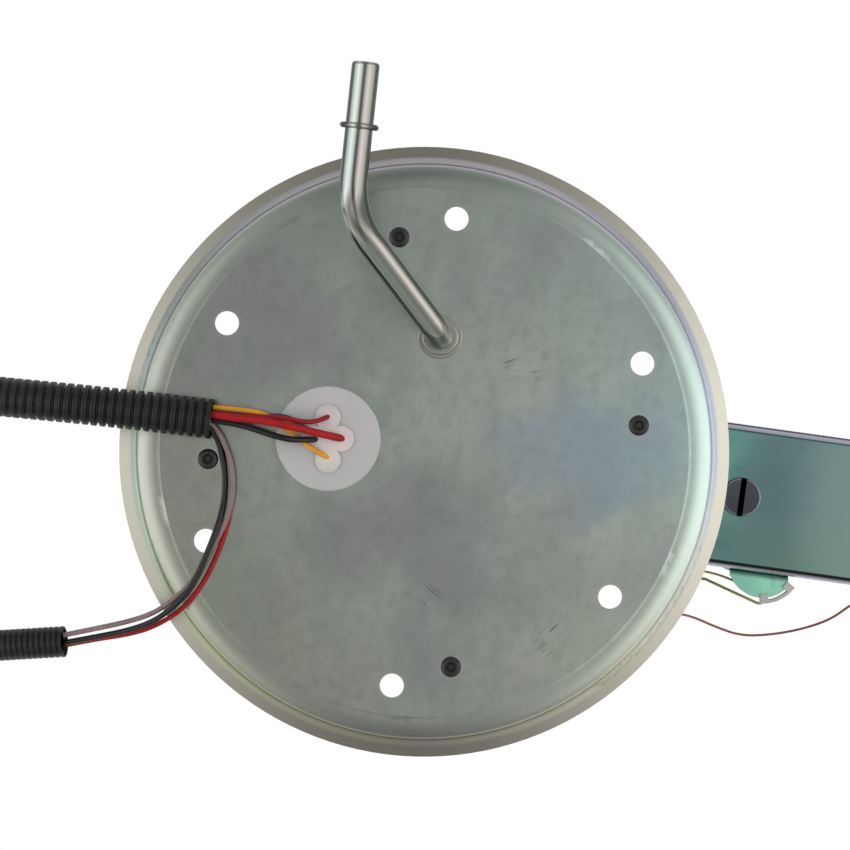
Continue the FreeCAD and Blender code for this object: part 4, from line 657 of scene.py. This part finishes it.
def corrugator():
    """A node tree that turns a line into a thin ringed tube."""
    tree = bpy.data.node_groups.new("corrugated tube", "GeometryNodeTree")
    sockets = [("Geometry", "Geometry")]
    sockets += [(name, "Float") for name in ("Radius", "Pitch", "Ridge", "Wall")]
    sockets += [("Material", "Material")]
    for name, kind in sockets:
        tree.interface.new_socket(name, in_out="INPUT", socket_type="NodeSocket" + kind)
    tree.interface.new_socket("Geometry", in_out="OUTPUT", socket_type="NodeSocketGeometry")

    def add(kind, settings=None, inputs=None):
        node = tree.nodes.new(kind)
        for name, value in (settings or {}).items():
            setattr(node, name, value)
        for name, value in (inputs or {}).items():
            if isinstance(value, bpy.types.NodeSocket):
                tree.links.new(value, node.inputs[name])
            else:
                node.inputs[name].default_value = value
        return node.outputs

    def sums(operation, *items):
        return add("ShaderNodeMath", {"operation": operation}, dict(enumerate(items)))[0]

    given = add("NodeGroupInput")
    steps_a_ring, facets = 10.0, 32
    step = sums("DIVIDE", given["Pitch"], steps_a_ring)
    fine = add("GeometryNodeResampleCurve", {"mode": "LENGTH"},
               {"Curve": given["Geometry"], "Length": step})[0]

    # A sine along the line, its tops and valleys cut flat, shrinks the tube at each valley.
    along = add("GeometryNodeSplineParameter")["Length"]
    wave = sums("SINE", sums("MULTIPLY", sums("DIVIDE", along, given["Pitch"]), 2.0 * math.pi))
    steep = sums("MULTIPLY", sums("ADD", wave, 0.4), 2.4)
    crest = sums("MAXIMUM", sums("MINIMUM", steep, 1.0), -1.0)
    half_ridge = sums("MULTIPLY", given["Ridge"], 0.5)
    groove = sums("MULTIPLY", sums("SUBTRACT", crest, 1.0), half_ridge)
    size = sums("ADD", given["Radius"], groove)
    ring = add("GeometryNodeCurvePrimitiveCircle", {"mode": "RADIUS"},
               {"Resolution": facets, "Radius": 1.0})[0]
    skin = add("GeometryNodeCurveToMesh", {},
               {"Curve": fine, "Profile Curve": ring, "Scale": size})[0]

    # The wall: the skin again, set inwards and turned round, joined to the skin at both ends.
    inwards = sums("MULTIPLY", given["Wall"], -1.0)
    inset = add("GeometryNodeExtrudeMesh", {"mode": "FACES"},
                {"Mesh": skin, "Offset Scale": inwards, "Individual": False})[0]
    inner = add("GeometryNodeFlipFaces", {}, {"Mesh": inset})[0]
    both = tree.nodes.new("GeometryNodeJoinGeometry")
    tree.links.new(skin, both.inputs[0])
    tree.links.new(inner, both.inputs[0])
    closed = add("GeometryNodeMergeByDistance", {},
                 {"Geometry": both.outputs[0], "Distance": 0.00001})[0]
    smooth = add("GeometryNodeSetShadeSmooth", {}, {"Geometry": closed})[0]
    real = add("GeometryNodeRealizeInstances", {}, {"Geometry": smooth})[0]
    dressed = add("GeometryNodeSetMaterial", {},
                  {"Geometry": real, "Material": given["Material"]})[0]
    tree.links.new(dressed, tree.nodes.new("NodeGroupOutput").inputs[0])
    return tree


def grown(name, host, tree, values):
    """Runs a node tree on a host object and keeps the result as a plain mesh object."""
    modifier = host.modifiers.new("grow", "NODES")
    modifier.node_group = tree
    for item in tree.interface.items_tree:
        if item.in_out == "INPUT" and item.name in values:
            modifier[item.identifier] = values[item.name]
    made = bpy.data.objects.new(name, evaluated_mesh(host))
    bpy.context.scene.collection.objects.link(made)
    return made


loom = moulded("loom polyethylene", (20, 20, 22), 0.34, 300.0, 0.3)
wall, ridge_share = 0.0007, 0.36
rings = corrugator()
looms = (
    ("main_loom", "conduit_main", 0.00715, 0.00316, 0.2449, ["main_connector"], (
        (-0.0767, 0.0014, 0.009), (-0.113, 0.0007, 0.009), (-0.151, -0.001, 0.0066),
        (-0.186, -0.0024, -0.0034), (-0.215, -0.0034, -0.024), (-0.233, -0.004, -0.054),
        (-0.24, -0.0042, -0.088), (-0.24, -0.0042, -0.118))),
    ("sensor_loom", "conduit_sensor", 0.00565, 0.00209, 0.1423, ["sensor_connector"], (
        (-0.1203, -0.0864, -0.0062), (-0.1421, -0.0909, -0.0082), (-0.164, -0.096, -0.015),
        (-0.184, -0.1006, -0.029), (-0.198, -0.1034, -0.049), (-0.2045, -0.1046, -0.073),
        (-0.2045, -0.1046, -0.096))),
)
for name, node, outer, pitch, length, on_it, points in looms:
    host = spline(name + "_line", points, 0.0, None, 24)
    sizes = {"Radius": outer, "Pitch": pitch, "Ridge": pitch * ridge_share, "Wall": wall}
    piece = grown(name, host, rings, {**sizes, "Material": loom})
    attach(piece, "hanger")
    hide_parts(node)
    points[0]
    [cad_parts[n] for n in on_it]
    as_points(line_points(points))

# Sensor leads. Three thin wires that leave the conduit's mouth, cross a bolt hole and the rim
# and run down into the small conduit.
grey = insulation("grey insulation", (128, 106, 108))
sensor_leads = (
    ("sensor_lead_black", 0.0021, 0.1187, black, "wire_black", (
        (-0.0795, -0.0004, 0.007), (-0.0754, -0.0034, 0.0046), (-0.0723, -0.0096, 0.003),
        (-0.0699, -0.0174, 0.00275), (-0.0689, -0.0254, 0.003), (-0.0692, -0.0326, 0.0044),
        (-0.0704, -0.0394, 0.0056), (-0.0722, -0.0466, 0.0053), (-0.0744, -0.0544, 0.0048),
        (-0.0774, -0.0616, 0.0045), (-0.0819, -0.068, 0.0032), (-0.0889, -0.0744, 0.0007),
        (-0.0976, -0.0789, -0.0027), (-0.109, -0.083, -0.005), (-0.1203, -0.0868, -0.006))),
    ("sensor_lead_grey", 0.0019, 0.1191, grey, "wire_grey", (
        (-0.0795, 0.0014, 0.0082), (-0.075, -0.0014, 0.0064), (-0.0708, -0.0076, 0.0049),
        (-0.0676, -0.0146, 0.0045), (-0.0662, -0.022, 0.0045), (-0.0662, -0.028, 0.0046),
        (-0.0669, -0.033, 0.0044), (-0.0683, -0.038, 0.0039), (-0.0701, -0.043, 0.003),
        (-0.0725, -0.0492, 0.0026), (-0.0751, -0.0552, 0.00255), (-0.0783, -0.0606, 0.0024),
        (-0.0836, -0.0666, 0.0014), (-0.0896, -0.0716, 0.0), (-0.0984, -0.0758, -0.0017),
        (-0.1094, -0.0799, -0.0036), (-0.1206, -0.0839, -0.0048))),
    ("sensor_lead_red", 0.0018, 0.124, red, "wire_red", (
        (-0.0795, 0.0012, 0.0056), (-0.0749, -0.0015, 0.0037), (-0.0709, -0.0082, 0.0026),
        (-0.0677, -0.0154, 0.00245), (-0.0664, -0.023, 0.0025), (-0.0663, -0.031, 0.00245),
        (-0.0669, -0.038, 0.0025), (-0.0681, -0.044, 0.00245), (-0.0699, -0.0506, 0.0025),
        (-0.0722, -0.0572, 0.00245), (-0.0755, -0.0636, 0.0023), (-0.0803, -0.0698, 0.0009),
        (-0.0886, -0.0764, -0.0019), (-0.0978, -0.0806, -0.005), (-0.109, -0.084, -0.0074),
        (-0.1199, -0.0878, -0.0084))),
)
for wire in sensor_leads:
    lead(*wire)

# Connectors. Square housings moulded in black nylon, each with a latch, one at the end of
# each conduit, where the unit's wires go on to the vehicle's.
dress(moulded("connector nylon", (28, 28, 29), 0.46), "main_connector", "sensor_connector")

# Floor and light. A pale floor well below the hanging unit, and a studio of two large soft
# panels above left and right, with a darker gap between them where the camera looks down.
floor_z = -0.2
bpy.ops.mesh.primitive_plane_add(size=6.0, location=(0.0, 0.0, floor_z))
floor = bpy.context.object
floor.name = "floor"
white = Shader("pale floor")
white.set(Base_Color=(0.88, 0.88, 0.88), Roughness=0.9)

# The camera sees plain white, the object's light comes off a pale floor, and a view from below
# looks through it.
glow = white.node("ShaderNodeEmission", {}, {"Color": (1.0, 1.0, 1.0), "Strength": 1.0})
seen = white.node("ShaderNodeLightPath")["Is Camera Ray"]
front = white.node("ShaderNodeMixShader", {},
                   {0: seen, 1: white.surface["BSDF"], 2: glow["Emission"]})
back = white.node("ShaderNodeNewGeometry")["Backfacing"]
clear = white.node("ShaderNodeBsdfTransparent")
both = white.node("ShaderNodeMixShader", {}, {0: back, 1: front["Shader"], 2: clear["BSDF"]})
white.node("ShaderNodeOutputMaterial", {"is_active_output": True}, {"Surface": both["Shader"]})
floor.data.materials.append(white.material)

world = bpy.data.worlds.new("studio")
sky = Nodes(world)
toward = sky.node("ShaderNodeTexCoord")["Generated"]
turned = sky.node("ShaderNodeVectorRotate", {"rotation_type": "Z_AXIS"},
                  {"Vector": toward, "Angle": math.radians(-photo_turn)})["Vector"]
x, y = sky.axes(turned)[:2]
down = 0.0 - y

# The room's own level by how far a direction leans up or down the picture, then the panels.
room = ((0.0, 0.5), (0.18, 0.48), (0.24, 0.4), (0.3, 0.28), (0.4, 0.3), (0.65, 0.6),
        (0.85, 0.72), (1.0, 0.72))
level = sky.ramp(abs(y), [(place, (grey_level,) * 3) for place, grey_level in room])
level = level * (1.0 - down.rise(0.3, 0.8) * 0.4)
right = x.rise(0.03, 0.36)
left = (0.0 - x).rise(0.16, 0.38)
reach = 1.0 - abs(y).rise(0.16, 0.5) * 0.85
below = down.band(0.05, 0.2, 0.5, 0.8) * 0.45
level = level + (right + left) * (reach + below).math("MINIMUM", 1.0) * 1.4
level = level.math("MAXIMUM", sky.node("ShaderNodeLightPath")["Is Camera Ray"])
lit = sky.node("ShaderNodeBackground", {}, {"Color": (1.0, 1.0, 1.0), "Strength": level})
sky.node("ShaderNodeOutputWorld", {}, {"Surface": lit["Background"]})
bpy.context.scene.world = world

# Camera. A long lens straight above the flange, turned so that the foot points a little below
# the picture's right.
lens = bpy.data.cameras.new("camera")
lens.sensor_width = 36.0
lens.lens = 93.8
camera = bpy.data.objects.new("camera", lens)
camera.location = (-0.00105, 0.00975, 0.8)
camera.rotation_euler = (0.0, 0.0, math.radians(photo_turn))
bpy.context.scene.collection.objects.link(camera)
bpy.context.scene.camera = camera
bpy.context.scene.view_settings.view_transform = "Standard"
